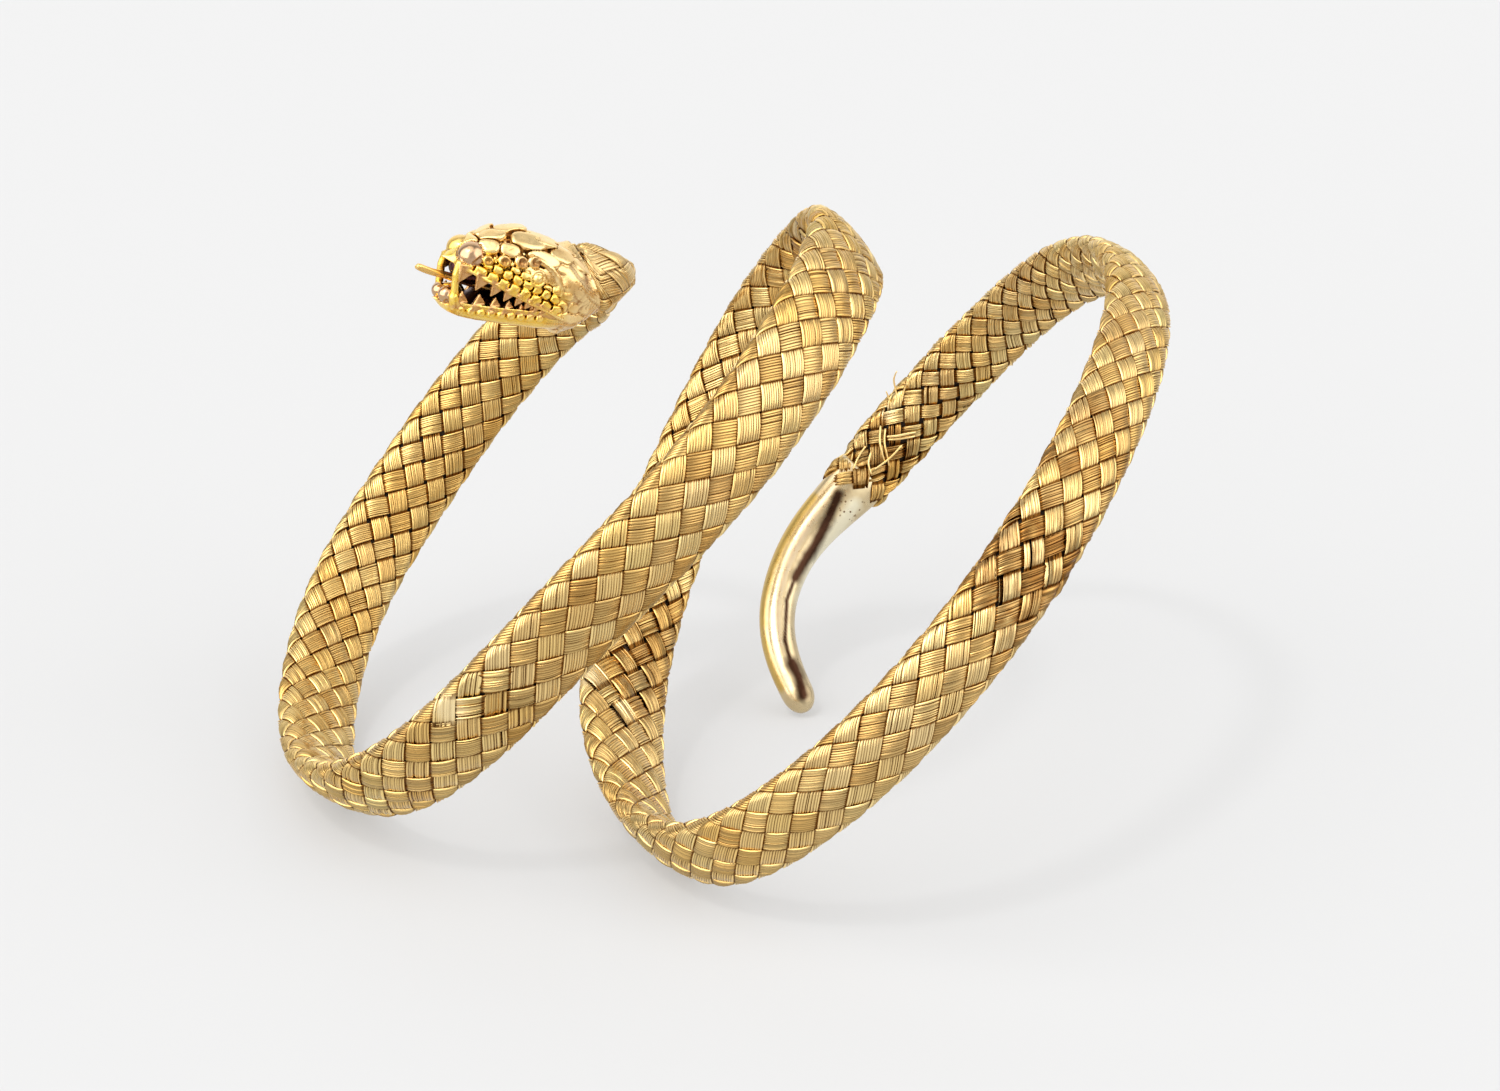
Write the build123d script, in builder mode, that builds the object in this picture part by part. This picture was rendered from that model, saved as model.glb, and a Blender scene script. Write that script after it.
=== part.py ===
from build123d import *
from math import cos, pi, radians, sin
import os

os.makedirs("parts", exist_ok=True)

# A coiled snake bracelet lying on the low sides of its loops.
# Millimetres, Z up. X runs along the coil, from the head's side to the tail's.
# The origin is the middle of the bracelet's footprint, on the surface it lies on.

# The coil
loop_radius = 31.3          # middle of the band to the middle of a loop
turn_pitch = 25.4           # step along X from one loop to the next
loop_lean = 39.0            # degrees that each loop leans back along X
seam_gap = 0.06             # hairline between the band and its two cast ends

# The woven band, a flattened tube
band_width = 9.4
band_thickness = 3.6
band_edge = 1.15            # half height of the band's rounded edges
edge_depth = 0.9            # how far a round edge stands out past the faces
far_rows = 0.03             # turn between two rows that get one more between them

# The tail tip, a solid polished horn
tail_width = 4.9
tail_thickness = 4.0
tail_end_round = 1.1

# The head, a hollow casting with its mouth open
head_heading = 208.0        # degrees about Z that the snout points to
skull_pitch = 33.0          # degrees that the skull is thrown back
jaw_pitch = 12.0            # degrees that the jaw's rim rises to its front
skull_ahead = 0.6           # the skull's hinge from the corner of the mouth, forward
skull_drop = 0.6            # and downward
skull_length = 13.4
skull_width = 8.8
skull_height = 6.2
jaw_length = 13.0
jaw_width = 8.4
jaw_depth = 2.2
mouth_wall = 0.9            # side walls of both jaws
mouth_roof = 4.6            # solid metal over the mouth
mouth_floor = 1.2           # solid metal under the mouth
collar_length = 3.0         # from the band's end to the corner of the mouth
collar_rise = 2.4           # the band's middle over the corner of the mouth
collar_lip = 0.35           # how far the collar stands out round the band
throat_width = 8.9
throat_height = 7.6
throat_edge = 2.3           # half height of the throat's rounded sides
throat_rise = 2.0           # the throat's middle over the corner of the mouth
tooth_height = 1.25
tooth_base = 1.15
tooth_thickness = 0.5
tooth_root = 0.4            # how deep a tooth's root runs into the rim
tooth_rake = 0.12           # how far forward of its middle a tooth's point stands
eye_radius = 0.62
nostril_radius = 1.35
brow_radius = 0.75
ball_arc = 80               # degrees from its middle that a ball's skin runs to
plate_rise = 0.35           # relief of the crown's plates
plate_sink = 0.9            # how deep a plate's root runs into the skull
plate_taper = 12            # degrees that a plate's sides lean in
lip_block = 1.0
lip_rise = 0.22
lip_sink = 0.5
tooth_inset = 0.5           # from the outside of the rim to the middle of a tooth

# The tongue, flat and forked
tongue_gap = 0.08           # clearance over the floor of the mouth
tongue_width = 1.7
tongue_thickness = 0.8
prong_width = 0.62
tongue_round = 0.24
tongue_taper = 0.35         # share that a run of the tongue thins by at its end

# Each row is a place along the coil. Turn counts loops from the head's side.
# Reach is the distance from the loop's middle, a share of loop_radius.
# Ahead is the shift along the loop's axis, a share of turn_pitch.
# Roll, in degrees, tips the section about the band, and wide is a share of band_width.
band_rows = [
    # turn, reach, ahead, roll, wide
    (0.0880, 0.937, -0.061, 42, 0.82),
    (0.0940, 0.985, 0.010, 55, 0.78),
    (0.1130, 1.055, 0.080, 64, 0.74),
    (0.1416, 1.110, 0.080, 46, 0.77),
    (0.1790, 1.150, 0.010, 18, 0.88),
    (0.2145, 1.167, -0.027, 6, 0.92),
    (0.250, 1.170, -0.052, 2, 0.94),
    (0.3125, 1.148, -0.084, 0, 0.96),
    (0.375, 1.120, -0.113, 0, 0.96),
    (0.500, 1.099, -0.057, 4, 0.94),
    (0.625, 1.044, -0.041, 10, 1.00),
    (0.750, 0.953, -0.095, 16, 1.03),
    (0.875, 0.967, -0.091, 16, 1.07),
    (1.000, 1.031, -0.137, 12, 1.08),
    (1.125, 0.930, -0.127, 10, 1.05),
    (1.250, 0.728, -0.086, 8, 0.99),
    (1.377, 0.699, -0.066, 4, 0.98),
    (1.509, 0.890, -0.002, 4, 1.08),
    (1.631, 1.232, 0.195, 0, 0.92),
    (1.751, 1.278, 0.210, 0, 0.87),
    (1.875, 1.082, 0.156, 0, 0.85),
    (2.000, 1.012, 0.047, 2, 0.82),
    (2.125, 1.012, -0.064, 4, 0.81),
    (2.250, 1.135, -0.119, 4, 0.78),
    (2.3125, 1.167, -0.188, 4, 0.76),
]

# The tail tip goes on from the band's last row. Wide is a share of tail_width here,
# and thick is a share of tail_thickness.
tail_rows = [
    # turn, reach, ahead, wide, thick
    (2.3125, 1.167, -0.188, 1.32, 0.90),
    (2.350, 1.205, -0.265, 1.02, 0.94),
    (2.375, 1.235, -0.290, 0.86, 0.92),
    (2.400, 1.255, -0.245, 0.78, 0.88),
    (2.424, 1.270, -0.065, 0.72, 0.84),
    (2.4315, 1.268, 0.007, 0.68, 0.80),
]

# The skull's sections from the hinge to the lip: along is a share of skull_length,
# wide of skull_width and high of skull_height.
skull_rows = [
    # along, wide, high
    (-0.05, 0.90, 0.80),
    (0.14, 1.00, 1.00),
    (0.38, 0.97, 1.00),
    (0.60, 0.87, 0.97),
    (0.78, 0.75, 0.83),
    (0.92, 0.63, 0.60),
    (1.00, 0.50, 0.36),
]

# The jaw's sections from the hinge to the chin, as shares of the jaw's sizes
jaw_rows = [
    # along, wide, deep
    (-0.06, 0.96, 1.00),
    (0.20, 1.00, 1.00),
    (0.50, 0.86, 0.92),
    (0.80, 0.66, 0.78),
    (1.00, 0.44, 0.52),
]

# Raised plates of the crown, on both sides: along is a share of skull_length, around
# runs from 0 at the rim of the mouth to 0.5 at the top, and the sizes are in mm.
crown_plates = [
    # along, around, long, broad
    (0.17, 0.43, 3.0, 2.3),
    (0.40, 0.42, 3.1, 2.3),
    (0.66, 0.41, 2.8, 2.0),
    (0.08, 0.29, 2.8, 1.9),
    (0.27, 0.28, 2.9, 1.7),
    (0.52, 0.27, 2.6, 1.6),
]

# Round scales of the brow, with along and around as above
brow_scales = [
    # along, around
    (0.31, 0.190),
    (0.45, 0.185),
    (0.57, 0.150),
    (0.70, 0.115),
    (0.82, 0.100),
]
eye_place = (0.42, 0.110)
nostril_place = (0.93, 0.130)

# Rows of even pieces: how many, and the shares of the jaw's length they run between
lip_row = (9, 0.06, 0.86)
upper_teeth = (7, 0.30, 0.92)
lower_teeth = (7, 0.34, 0.88)
lip_around = 0.03           # how far round from the rim the lip's scales sit

# The tongue's middle line and its two prongs: along is a share of jaw_length, up and
# out are mm from where the tongue lies at its root.
tongue_stem = [
    # along, up, out
    (0.30, 0.00, 0.0),
    (0.55, 0.75, 0.0),
    (0.78, 2.20, 0.0),
    (0.90, 2.80, 0.0),
]
far_prong = [
    (0.88, 2.75, 0.30),
    (1.08, 3.35, 0.50),
    (1.32, 4.00, 0.55),
]
near_prong = [
    (0.88, 2.75, -0.30),
    (0.97, 2.75, -0.70),
    (1.00, 2.10, -0.85),
    (0.96, 1.60, -0.80),
]


def turn_centre(turn):
    """Return the middle of the loop at this turn, before the coil is set down."""
    return Vector(turn_pitch * turn, 0, 0)


lean = radians(loop_lean)
loop_up = Vector(sin(lean), 0, cos(lean))
loop_back = Vector(0, 1, 0)
loop_axis = Vector(cos(lean), 0, -sin(lean))


def spoke(turn):
    """Return the outward direction at this turn."""
    angle = 2 * pi * turn
    return loop_up * cos(angle) + loop_back * sin(angle)


def coil_point(turn, reach, ahead):
    """Return a point of the band's middle line."""
    across = spoke(turn) * (loop_radius * reach)
    return turn_centre(turn) + across + loop_axis * (turn_pitch * ahead)


def slope_at(rows, index, column):
    """Return how fast a column changes with the turn at a row."""
    low = rows[max(index - 1, 0)]
    here = rows[index]
    high = rows[min(index + 1, len(rows) - 1)]
    if low is here or high is here:
        return (high[column] - low[column]) / (high[0] - low[0])
    before = (here[column] - low[column]) / (here[0] - low[0])
    after = (high[column] - here[column]) / (high[0] - here[0])
    share = (high[0] - here[0]) / (high[0] - low[0])
    return before * share + after * (1 - share)


def with_halfway_rows(rows):
    """Return the rows with one more between each two that are far apart, on a smooth curve."""
    finer = []
    for index, (low, high) in enumerate(zip(rows, rows[1:])):
        finer.append(low)
        step = high[0] - low[0]
        if step > far_rows:
            halfway = [
                (low[column] + high[column]) / 2
                + (slope_at(rows, index, column) - slope_at(rows, index + 1, column)) * step / 8
                for column in range(len(low))
            ]
            finer.append(halfway)
    return finer + [rows[-1]]


def section_plane(rows, index, roll=0.0):
    """Return the plane across the band at a row: X is its width, Z runs to the tail."""
    points = [coil_point(*row[:3]) for row in rows]
    here = points[index]
    behind = here - points[max(index - 1, 0)]
    ahead = points[min(index + 1, len(rows) - 1)] - here
    tangent = (behind + ahead).normalized()
    if 0 < index < len(rows) - 1:
        # the nearer neighbour counts for more, so that uneven rows still give a smooth band
        tangent = (behind * ahead.length**2 + ahead * behind.length**2).normalized()
    outward = spoke(rows[index][0])
    outward = (outward - tangent * outward.dot(tangent)).normalized()
    side = tangent.cross(outward)
    turned = side * cos(radians(roll)) - outward * sin(radians(roll))
    return Plane(origin=here, x_dir=turned, z_dir=tangent)


def band_section(plane, width, thickness, edge):
    """Draw the flattened tube: two domed faces joined by two round edges."""
    half = width / 2
    flank = half - edge_depth
    with BuildSketch(plane) as section:
        with BuildLine():
            ThreePointArc((-flank, edge), (0, thickness / 2), (flank, edge))
            ThreePointArc((flank, edge), (half, 0), (flank, -edge))
            ThreePointArc((flank, -edge), (0, -thickness / 2), (-flank, -edge))
            ThreePointArc((-flank, -edge), (-half, 0), (-flank, edge))
        make_face()
    return section.sketch


def share_at(rows, along, column):
    """Return a column of a table at this share of the length, on straight lines."""
    for low, high in zip(rows, rows[1:]):
        if along <= high[0]:
            step = (along - low[0]) / (high[0] - low[0])
            return low[column] + (high[column] - low[column]) * step
    return rows[-1][column]


def dome_section(plane, width, height):
    """Draw a dome over a flat base."""
    half = width / 2
    with BuildSketch(plane) as section:
        with BuildLine():
            Line((-half, 0), (half, 0))
            Bezier((half, 0), (half, height * 4 / 3), (-half, height * 4 / 3), (-half, 0))
        make_face()
    return section.sketch


def pitched(origin, pitch):
    """Return a frame whose X runs forward at this pitch, Y to the side and Z up."""
    forward = Vector(
        cos(radians(head_heading)) * cos(radians(pitch)),
        sin(radians(head_heading)) * cos(radians(pitch)),
        sin(radians(pitch)),
    )
    up = Vector(
        -cos(radians(head_heading)) * sin(radians(pitch)),
        -sin(radians(head_heading)) * sin(radians(pitch)),
        cos(radians(pitch)),
    )
    return Plane(origin=origin, x_dir=forward, z_dir=up)


def across(frame, along, up=0.0):
    """Return the plane across a jaw's frame at this distance along it."""
    origin = frame.from_local_coords((along, 0, up))
    return Plane(origin=origin, x_dir=frame.y_dir, z_dir=frame.x_dir)


# The woven band
band_course = with_halfway_rows(band_rows)
band_sections = [
    band_section(section_plane(band_course, index, row[3]), band_width * row[4], band_thickness, band_edge)
    for index, row in enumerate(band_course)
]
with BuildPart() as woven_body:
    loft(band_sections)
woven_body.part.label = "woven_body"

# The tail tip
tail_sections = []
for index, row in enumerate(tail_rows):
    plane = section_plane(tail_rows, index)
    if index == 0:
        plane = section_plane(band_course, len(band_course) - 1).offset(seam_gap)
    with BuildSketch(plane) as section:
        Ellipse(tail_width * row[3] / 2, tail_thickness * row[4] / 2)
    tail_sections.append(section.sketch)
with BuildPart() as tail_tip:
    loft(tail_sections)
    end_face = tail_tip.faces().sort_by_distance(tail_sections[-1].center())[0]
    fillet(end_face.edges(), tail_end_round)
tail_tip.part.label = "tail_tip"

# The head
neck = section_plane(band_course, 0, band_course[0][3]).offset(-seam_gap)
level = pitched((0, 0, 0), 0)
corner = neck.origin + level.x_dir * collar_length - level.z_dir * collar_rise
throat = Plane(
    origin=corner + level.z_dir * throat_rise,
    x_dir=level.y_dir,
    z_dir=-pitched(corner, (skull_pitch + jaw_pitch) / 2).x_dir,
)
hinge = corner + level.x_dir * skull_ahead - level.z_dir * skull_drop
skull = pitched(hinge, skull_pitch)
jaw = pitched(corner, jaw_pitch)


def skull_skin(along, around, side):
    """Return a plane on the skull's skin: X forward, Z straight out of the skin."""
    half = skull_width * share_at(skull_rows, along, 1) / 2
    high = skull_height * share_at(skull_rows, along, 2)
    back = 1 - around
    out = half * (back - around) * (back * back + 4 * back * around + around * around)
    up = 4 * high * back * around
    normal = Vector(0, side * 4 * high * (back - around), 12 * half * back * around)
    place = skull.from_local_coords((along * skull_length, side * out, up))
    outward = (skull.y_dir * normal.Y + skull.z_dir * normal.Z).normalized()
    return Plane(origin=place, x_dir=skull.x_dir, z_dir=outward)


def rim_place(frame, rows, length, width, along, side, inset):
    """Return a plane on a jaw's rim: X forward along the rim, Z out to the side."""
    half = width * share_at(rows, along, 1) / 2 - inset
    place = frame.from_local_coords((along * length, side * half, 0))
    return Plane(origin=place, x_dir=frame.x_dir, z_dir=frame.y_dir)


def tooth(plane, height):
    """Make one sheet tooth whose point is this far along the plane's Y."""
    root = tooth_root if height > 0 else -tooth_root
    with BuildPart() as one:
        with BuildSketch(plane):
            with BuildLine():
                Polyline(
                    (-tooth_base / 2, -root),
                    (tooth_base / 2, -root),
                    (tooth_base / 2, 0),
                    (tooth_rake, height),
                    (-tooth_base / 2, 0),
                    close=True,
                )
            make_face()
        extrude(amount=tooth_thickness / 2, both=True)
    return one.part


def crown_plate(place, long, broad):
    """Make one oval plate rooted in the skull."""
    with BuildPart() as one:
        with BuildSketch(place.offset(-plate_sink)):
            Ellipse(long / 2, broad / 2)
        extrude(amount=plate_sink + plate_rise, taper=plate_taper)
    return one.part


def lip_scale(place):
    """Make one block of the lip rooted in the skull."""
    with BuildPart() as one:
        with BuildSketch(place.offset(-lip_sink)):
            RectangleRounded(lip_block, lip_block, lip_block * 0.2)
        extrude(amount=lip_sink + lip_rise)
    return one.part


def evenly(count, first, last):
    """Return this many places from the first to the last."""
    return [first + (last - first) * index / (count - 1) for index in range(count)]


both_sides = (1, -1)
relief = []
for side in both_sides:
    for along, around, long, broad in crown_plates:
        relief.append(crown_plate(skull_skin(along, around, side), long, broad))
    for along in evenly(*lip_row):
        relief.append(lip_scale(skull_skin(along, lip_around, side)))
    for along in evenly(*upper_teeth):
        place = rim_place(skull, skull_rows, skull_length, skull_width, along, side, tooth_inset)
        relief.append(tooth(place, -tooth_height))
    for along in evenly(*lower_teeth):
        place = rim_place(jaw, jaw_rows, jaw_length, jaw_width, along, side, tooth_inset)
        relief.append(tooth(place, tooth_height))

mouth_inset = mouth_wall / skull_width
roof_rows = [(along, wide - 2 * mouth_inset, high) for along, wide, high in skull_rows[:-1]]
floor_rows = [(along, wide - 2 * mouth_inset, deep) for along, wide, deep in jaw_rows[:-1]]
with BuildPart() as snake_head:
    # the skull, thrown back, with its mouth hollowed from below
    loft([
        dome_section(across(skull, along * skull_length), skull_width * wide, skull_height * high)
        for along, wide, high in skull_rows
    ])
    loft([
        dome_section(
            across(skull, along * skull_length, -0.01),
            skull_width * wide,
            skull_height * high * (1 - mouth_roof / skull_height),
        )
        for along, wide, high in roof_rows
    ], mode=Mode.SUBTRACT)
    # the jaw, a trough
    loft([
        dome_section(across(jaw, along * jaw_length), jaw_width * wide, -jaw_depth * deep)
        for along, wide, deep in jaw_rows
    ])
    loft([
        dome_section(
            across(jaw, along * jaw_length, 0.01),
            jaw_width * wide,
            -jaw_depth * deep * (1 - mouth_floor / jaw_depth),
        )
        for along, wide, deep in floor_rows
    ], mode=Mode.SUBTRACT)
    # the throat and collar, from the corner of the mouth back to the band
    loft([
        band_section(
            neck,
            band_width * band_rows[0][4] + 2 * collar_lip,
            band_thickness + 2 * collar_lip,
            band_edge + collar_lip,
        ),
        band_section(throat, throat_width, throat_height, throat_edge),
    ])
    # round scales of the brow, the eyes and the bulbs of the nostrils
    with Locations(*[skull_skin(*place, side) for place in brow_scales for side in both_sides]):
        Sphere(brow_radius, arc_size1=-ball_arc, arc_size2=ball_arc)
    with Locations(*[skull_skin(*eye_place, side) for side in both_sides]):
        Sphere(eye_radius, arc_size1=-ball_arc, arc_size2=ball_arc)
    with Locations(*[skull_skin(*nostril_place, side) for side in both_sides]):
        Sphere(nostril_radius, arc_size1=-ball_arc, arc_size2=ball_arc)
    # plates of the crown, scales of the lip and teeth
    add(relief)
snake_head.part.label = "snake_head"



tongue_rest = mouth_floor - jaw_depth + tongue_gap + tongue_thickness / 2


def forked_run(rows, width):
    """Draw the flat sections along a short table of the tongue."""
    points = [
        jaw.from_local_coords((along * jaw_length, out, tongue_rest + up)) for along, up, out in rows
    ]
    sections = []
    for index, point in enumerate(points):
        before = points[max(index - 1, 0)]
        after = points[min(index + 1, len(points) - 1)]
        run = (after - before).normalized()
        side = (jaw.y_dir - run * jaw.y_dir.dot(run)).normalized()
        thin = 1 - tongue_taper * index / (len(points) - 1)
        with BuildSketch(Plane(origin=point, x_dir=side, z_dir=run)) as section:
            RectangleRounded(width * thin, tongue_thickness * thin, tongue_round * thin)
        sections.append(section.sketch)
    return sections


# The tongue, lying in the jaw and forked beyond its chin
with BuildPart() as tongue:
    loft(forked_run(tongue_stem, tongue_width))
    loft(forked_run(far_prong, prong_width))
    loft(forked_run(near_prong, prong_width))
tongue.part.label = "tongue"

# The whole is set down on its lowest point, over the middle of its footprint.
finished = [woven_body.part, snake_head.part, tongue.part, tail_tip.part]
footprint = Compound(children=[Pos() * piece for piece in finished]).bounding_box()
set_down = Pos(-footprint.center().X, -footprint.center().Y, -footprint.min.Z)
for piece in finished:
    placed = set_down * piece
    placed.label = piece.label
    export_step(placed, "parts/" + piece.label + ".step")
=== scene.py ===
from functools import reduce
from itertools import product
from math import cos, pi, radians, sin

import bpy
import numpy as np
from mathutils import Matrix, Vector
from mathutils.bvhtree import BVHTree


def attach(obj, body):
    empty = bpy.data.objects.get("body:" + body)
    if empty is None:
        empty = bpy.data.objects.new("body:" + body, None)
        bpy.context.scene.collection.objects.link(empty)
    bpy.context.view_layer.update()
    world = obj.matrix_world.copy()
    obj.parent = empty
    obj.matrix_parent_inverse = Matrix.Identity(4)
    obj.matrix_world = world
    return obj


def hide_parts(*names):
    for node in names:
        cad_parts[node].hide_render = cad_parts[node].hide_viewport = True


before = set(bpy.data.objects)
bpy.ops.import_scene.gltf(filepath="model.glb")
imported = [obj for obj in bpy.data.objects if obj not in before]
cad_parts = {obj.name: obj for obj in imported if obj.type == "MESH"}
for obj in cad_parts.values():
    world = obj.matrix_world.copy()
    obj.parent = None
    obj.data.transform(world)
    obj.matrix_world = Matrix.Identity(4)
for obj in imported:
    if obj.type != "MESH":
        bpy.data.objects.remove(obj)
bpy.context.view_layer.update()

MM = 0.001
rng = np.random.default_rng(7)

# The camera and the light, in the photograph's frame
camera_place = (3.734, -463.334, 211.776)   # mm
camera_pitch = 21.754                       # degrees below level
focal_px = 5007.6                           # for an image 1500 wide
image_wide = 1500.0
light_slope = (0.338, 0.52)                 # shadow's step in X and Y for each unit of height

# The coil's description, the same as the source's, in mm
loop_radius = 31.3
turn_pitch = 25.4
loop_lean = 39.0
set_down = np.array([-30.016, 1.766, 28.976])
band_rows = np.array([
    # turn, reach, ahead, roll
    (0.0880, 0.937, -0.061, 42), (0.0940, 0.985, 0.010, 55), (0.1130, 1.055, 0.080, 64),
    (0.1416, 1.110, 0.080, 46), (0.1790, 1.150, 0.010, 18), (0.2145, 1.167, -0.027, 6),
    (0.250, 1.170, -0.052, 2), (0.3125, 1.148, -0.084, 0), (0.375, 1.120, -0.113, 0),
    (0.500, 1.099, -0.057, 4), (0.625, 1.044, -0.041, 10), (0.750, 0.953, -0.095, 16),
    (0.875, 0.967, -0.091, 16), (1.000, 1.031, -0.137, 12), (1.125, 0.930, -0.127, 10),
    (1.250, 0.728, -0.086, 8), (1.377, 0.699, -0.066, 4), (1.509, 0.890, -0.002, 4),
    (1.631, 1.232, 0.195, 0), (1.751, 1.278, 0.210, 0), (1.875, 1.082, 0.156, 0),
    (2.000, 1.012, 0.047, 2), (2.125, 1.012, -0.064, 4), (2.250, 1.135, -0.119, 4),
    (2.3125, 1.167, -0.188, 4), (2.350, 1.205, -0.265, 4), (2.375, 1.235, -0.290, 4),
])
band_end = 2.3125          # the turn where the band's own metal ends
weave_end = 2.350          # the turn up to which the woven wire's skin is followed
tail_way = np.array([-0.597, -0.398, -0.697])      # the tail's direction at its root
weave_cut = -36.3          # distance along tail_way, mm, where loose wire stops on the tail's root

# The weave
ribbons = 7                # ribbons that wind each way round the band
wires = 9                  # wires side by side in a ribbon
period_rows = np.array([
    # turn, diamond's length along the band in mm, gap beside a ribbon as a share, paleness, looseness
    (0.08, 3.55, 0.04, 0.6, 0.1), (0.14, 3.60, 0.09, 0.3, 0.1), (0.20, 3.65, 0.13, 0.1, 0.1),
    (0.30, 3.65, 0.15, 0.0, 0.15), (0.42, 3.65, 0.12, 0.1, 0.1), (0.50, 3.70, 0.06, 0.4, 0.0),
    (0.58, 3.90, 0.08, 0.2, 0.5), (0.66, 3.95, 0.07, 0.1, 0.35), (0.75, 3.80, 0.04, 0.1, 0.0),
    (0.90, 3.80, 0.04, 0.1, 0.0), (1.00, 3.70, 0.06, 0.1, 0.4), (1.08, 3.50, 0.09, 0.2, 0.5),
    (1.15, 3.50, 0.10, 0.2, 0.2), (1.30, 3.50, 0.14, 0.1, 0.3), (1.42, 3.50, 0.14, 0.1, 0.5),
    (1.55, 3.90, 0.06, 0.2, 0.1), (1.62, 3.80, 0.04, 0.3, 0.0), (1.75, 3.80, 0.05, 0.3, 0.1),
    (1.82, 3.75, 0.08, 0.1, 0.4), (1.92, 3.70, 0.05, 0.1, 0.1), (2.00, 3.50, 0.07, 0.2, 0.1),
    (2.12, 3.20, 0.14, 0.5, 0.4), (2.25, 3.05, 0.18, 0.5, 0.7), (2.32, 2.90, 0.20, 0.1, 1.0),
    (2.36, 2.60, 0.26, 0.0, 1.0),
])
reflection_checker_rows = np.array([
    # turn, how much browner the ribbons of one direction are painted: a painted shade, with a painted highlight
    # on the other direction, in place of their different reflections
    (0.1, 0.0), (0.22, 0.10), (0.38, 0.14), (0.5, 0.0), (0.60, 0.10), (0.68, 0.34), (0.80, 0.50),
    (0.90, 0.42), (0.98, 0.12), (1.05, 0.05), (1.3, 0.10), (1.55, 0.05), (1.66, 0.16), (1.74, 0.36),
    (1.82, 0.46), (1.90, 0.48), (1.97, 0.12), (2.05, 0.02), (2.3, 0.0),
])
marks_seen = np.array([
    # place x, y, z in mm, radius, paleness, tarnish, looseness
    (-24.7, -28.7, 21.6, 2.6, 1.0, 0.0, 0.6), (-12.4, 2.1, 11.9, 2.4, 1.0, 0.0, 0.3),
    (-8.9, -0.5, 9.2, 2.0, 0.8, 0.3, 1.0), (-19.9, -29.3, 22.3, 5.0, 0.1, 0.1, 1.0),
    (18.4, 36.2, 27.7, 1.4, 1.0, 0.0, 0.4), (18.6, 34.7, 24.0, 4.2, 0.0, 1.0, 1.2),
    (15.6, 33.0, 20.5, 3.6, 0.0, 0.7, 1.0), (20.2, 35.2, 25.3, 0.9, 1.0, 0.0, 0.0),
    (30.6, -33.6, 37.2, 10.0, 0.0, 0.75, 0.8), (36.0, -25.0, 48.0, 8.0, 0.0, 0.40, 0.2),
    (-6.0, 9.0, 11.8, 9.0, 0.0, 0.55, 0.6),
    (-7.9, 3.0, 9.9, 4.0, 0.0, 0.5, 1.0), (8.5, 16.7, 53.4, 4.5, 0.0, 0.3, 1.0),
    (39.0, 14.8, 49.8, 4.0, 0.2, 0.1, 0.6), (-38.7, -0.6, 4.8, 3.5, 0.2, 0.3, 0.4),
    (-7.1, -16.3, 6.5, 4.0, 0.1, 0.3, 0.4), (-9.5, 19.4, 50.1, 5.5, 0.5, 0.15, 0.3),
    (-12.0, 17.5, 51.0, 3.5, 0.6, 0.25, 0.3), (31.0, -34.0, 34.2, 1.7, 0.55, 0.75, 0.9),
    (-9.5, 16.0, 55.0, 6.0, 0.75, 0.0, 0.5),
])
neck_planes = [
    # a place on each plane that presses the neck flat, and its outward direction
    (np.array([-11.57, -7.86, 61.07]), np.array([0.4149, 0.2983, 0.8595])),
    (np.array([-7.18, -8.93, 57.5]), np.array([0.6623, -0.2266, -0.7141])),
]
neck_turn, neck_fade = 0.165, 0.03     # turn where the press on the neck ends, and the turns it fades over
neck_press, press_depth = 0.85, 1.5    # share of what is beyond a plane that goes, and its greatest depth, mm
relief = 0.19              # half the height that a ribbon rises and dips, mm
raw_edge_drop = 0.30       # how far a ribbon's two raw edges are turned down, mm
side_drop = 0.10           # depth of the outermost grooves beside them, mm
weave_lift = 0.07          # how far the whole weave stands above the skin, mm
wire_uneven = 0.014        # spread of the wires' heights, mm
drift, drift_grain = 0.035, 6.0        # how far ribbons wander, as a share of a cell, and over how many mm
over_tail_lift = 0.34      # how far the wire stands off the tail's root, mm
wire_round = 0.075         # depth of the groove between two wires, mm
dive = 0.2                 # share of a cell that a ribbon runs on under its neighbours
# core_depth sets how deep a dark sheet of painted shade lies below the band's skin
core_depth = 0.62          # the dark inside, below the band's skin, mm


# Helpers

def spline(knots, values, at):
    """Natural cubic spline through rows of values, with its first derivative."""
    n = len(knots)
    step = np.diff(knots)
    matrix = np.zeros((n, n))
    right = np.zeros((n, values.shape[1]))
    matrix[0, 0] = matrix[-1, -1] = 1
    for k in range(1, n - 1):
        matrix[k, k - 1], matrix[k, k], matrix[k, k + 1] = step[k - 1], 2 * (step[k - 1] + step[k]), step[k]
        right[k] = 6 * ((values[k + 1] - values[k]) / step[k] - (values[k] - values[k - 1]) / step[k - 1])
    bend = np.linalg.solve(matrix, right)
    k = np.clip(np.searchsorted(knots, at) - 1, 0, n - 2)
    h = step[k][:, None]
    low, high = (at - knots[k])[:, None], (knots[k + 1] - at)[:, None]
    value = (bend[k] * high ** 3 + bend[k + 1] * low ** 3) / (6 * h) \
        + (values[k] / h - bend[k] * h / 6) * high + (values[k + 1] / h - bend[k + 1] * h / 6) * low
    slope = (bend[k + 1] * low ** 2 - bend[k] * high ** 2) / (2 * h) \
        + (values[k + 1] - values[k]) / h - (bend[k + 1] - bend[k]) * h / 6
    return value, slope


def held(values):
    """Values held between 0 and 1."""
    return np.clip(values, 0, 1)


def eased(share):
    """A share from 0 to 1 that starts and ends gently."""
    return share * share * (3 - 2 * share)


def distance(x, y, z):
    """How far the places x, y, z are from the origin."""
    return np.sqrt(x * x + y * y + z * z)


def along_way(way, x, y, z):
    """How far the places x, y, z lie along a direction."""
    return way[0] * x + way[1] * y + way[2] * z


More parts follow.
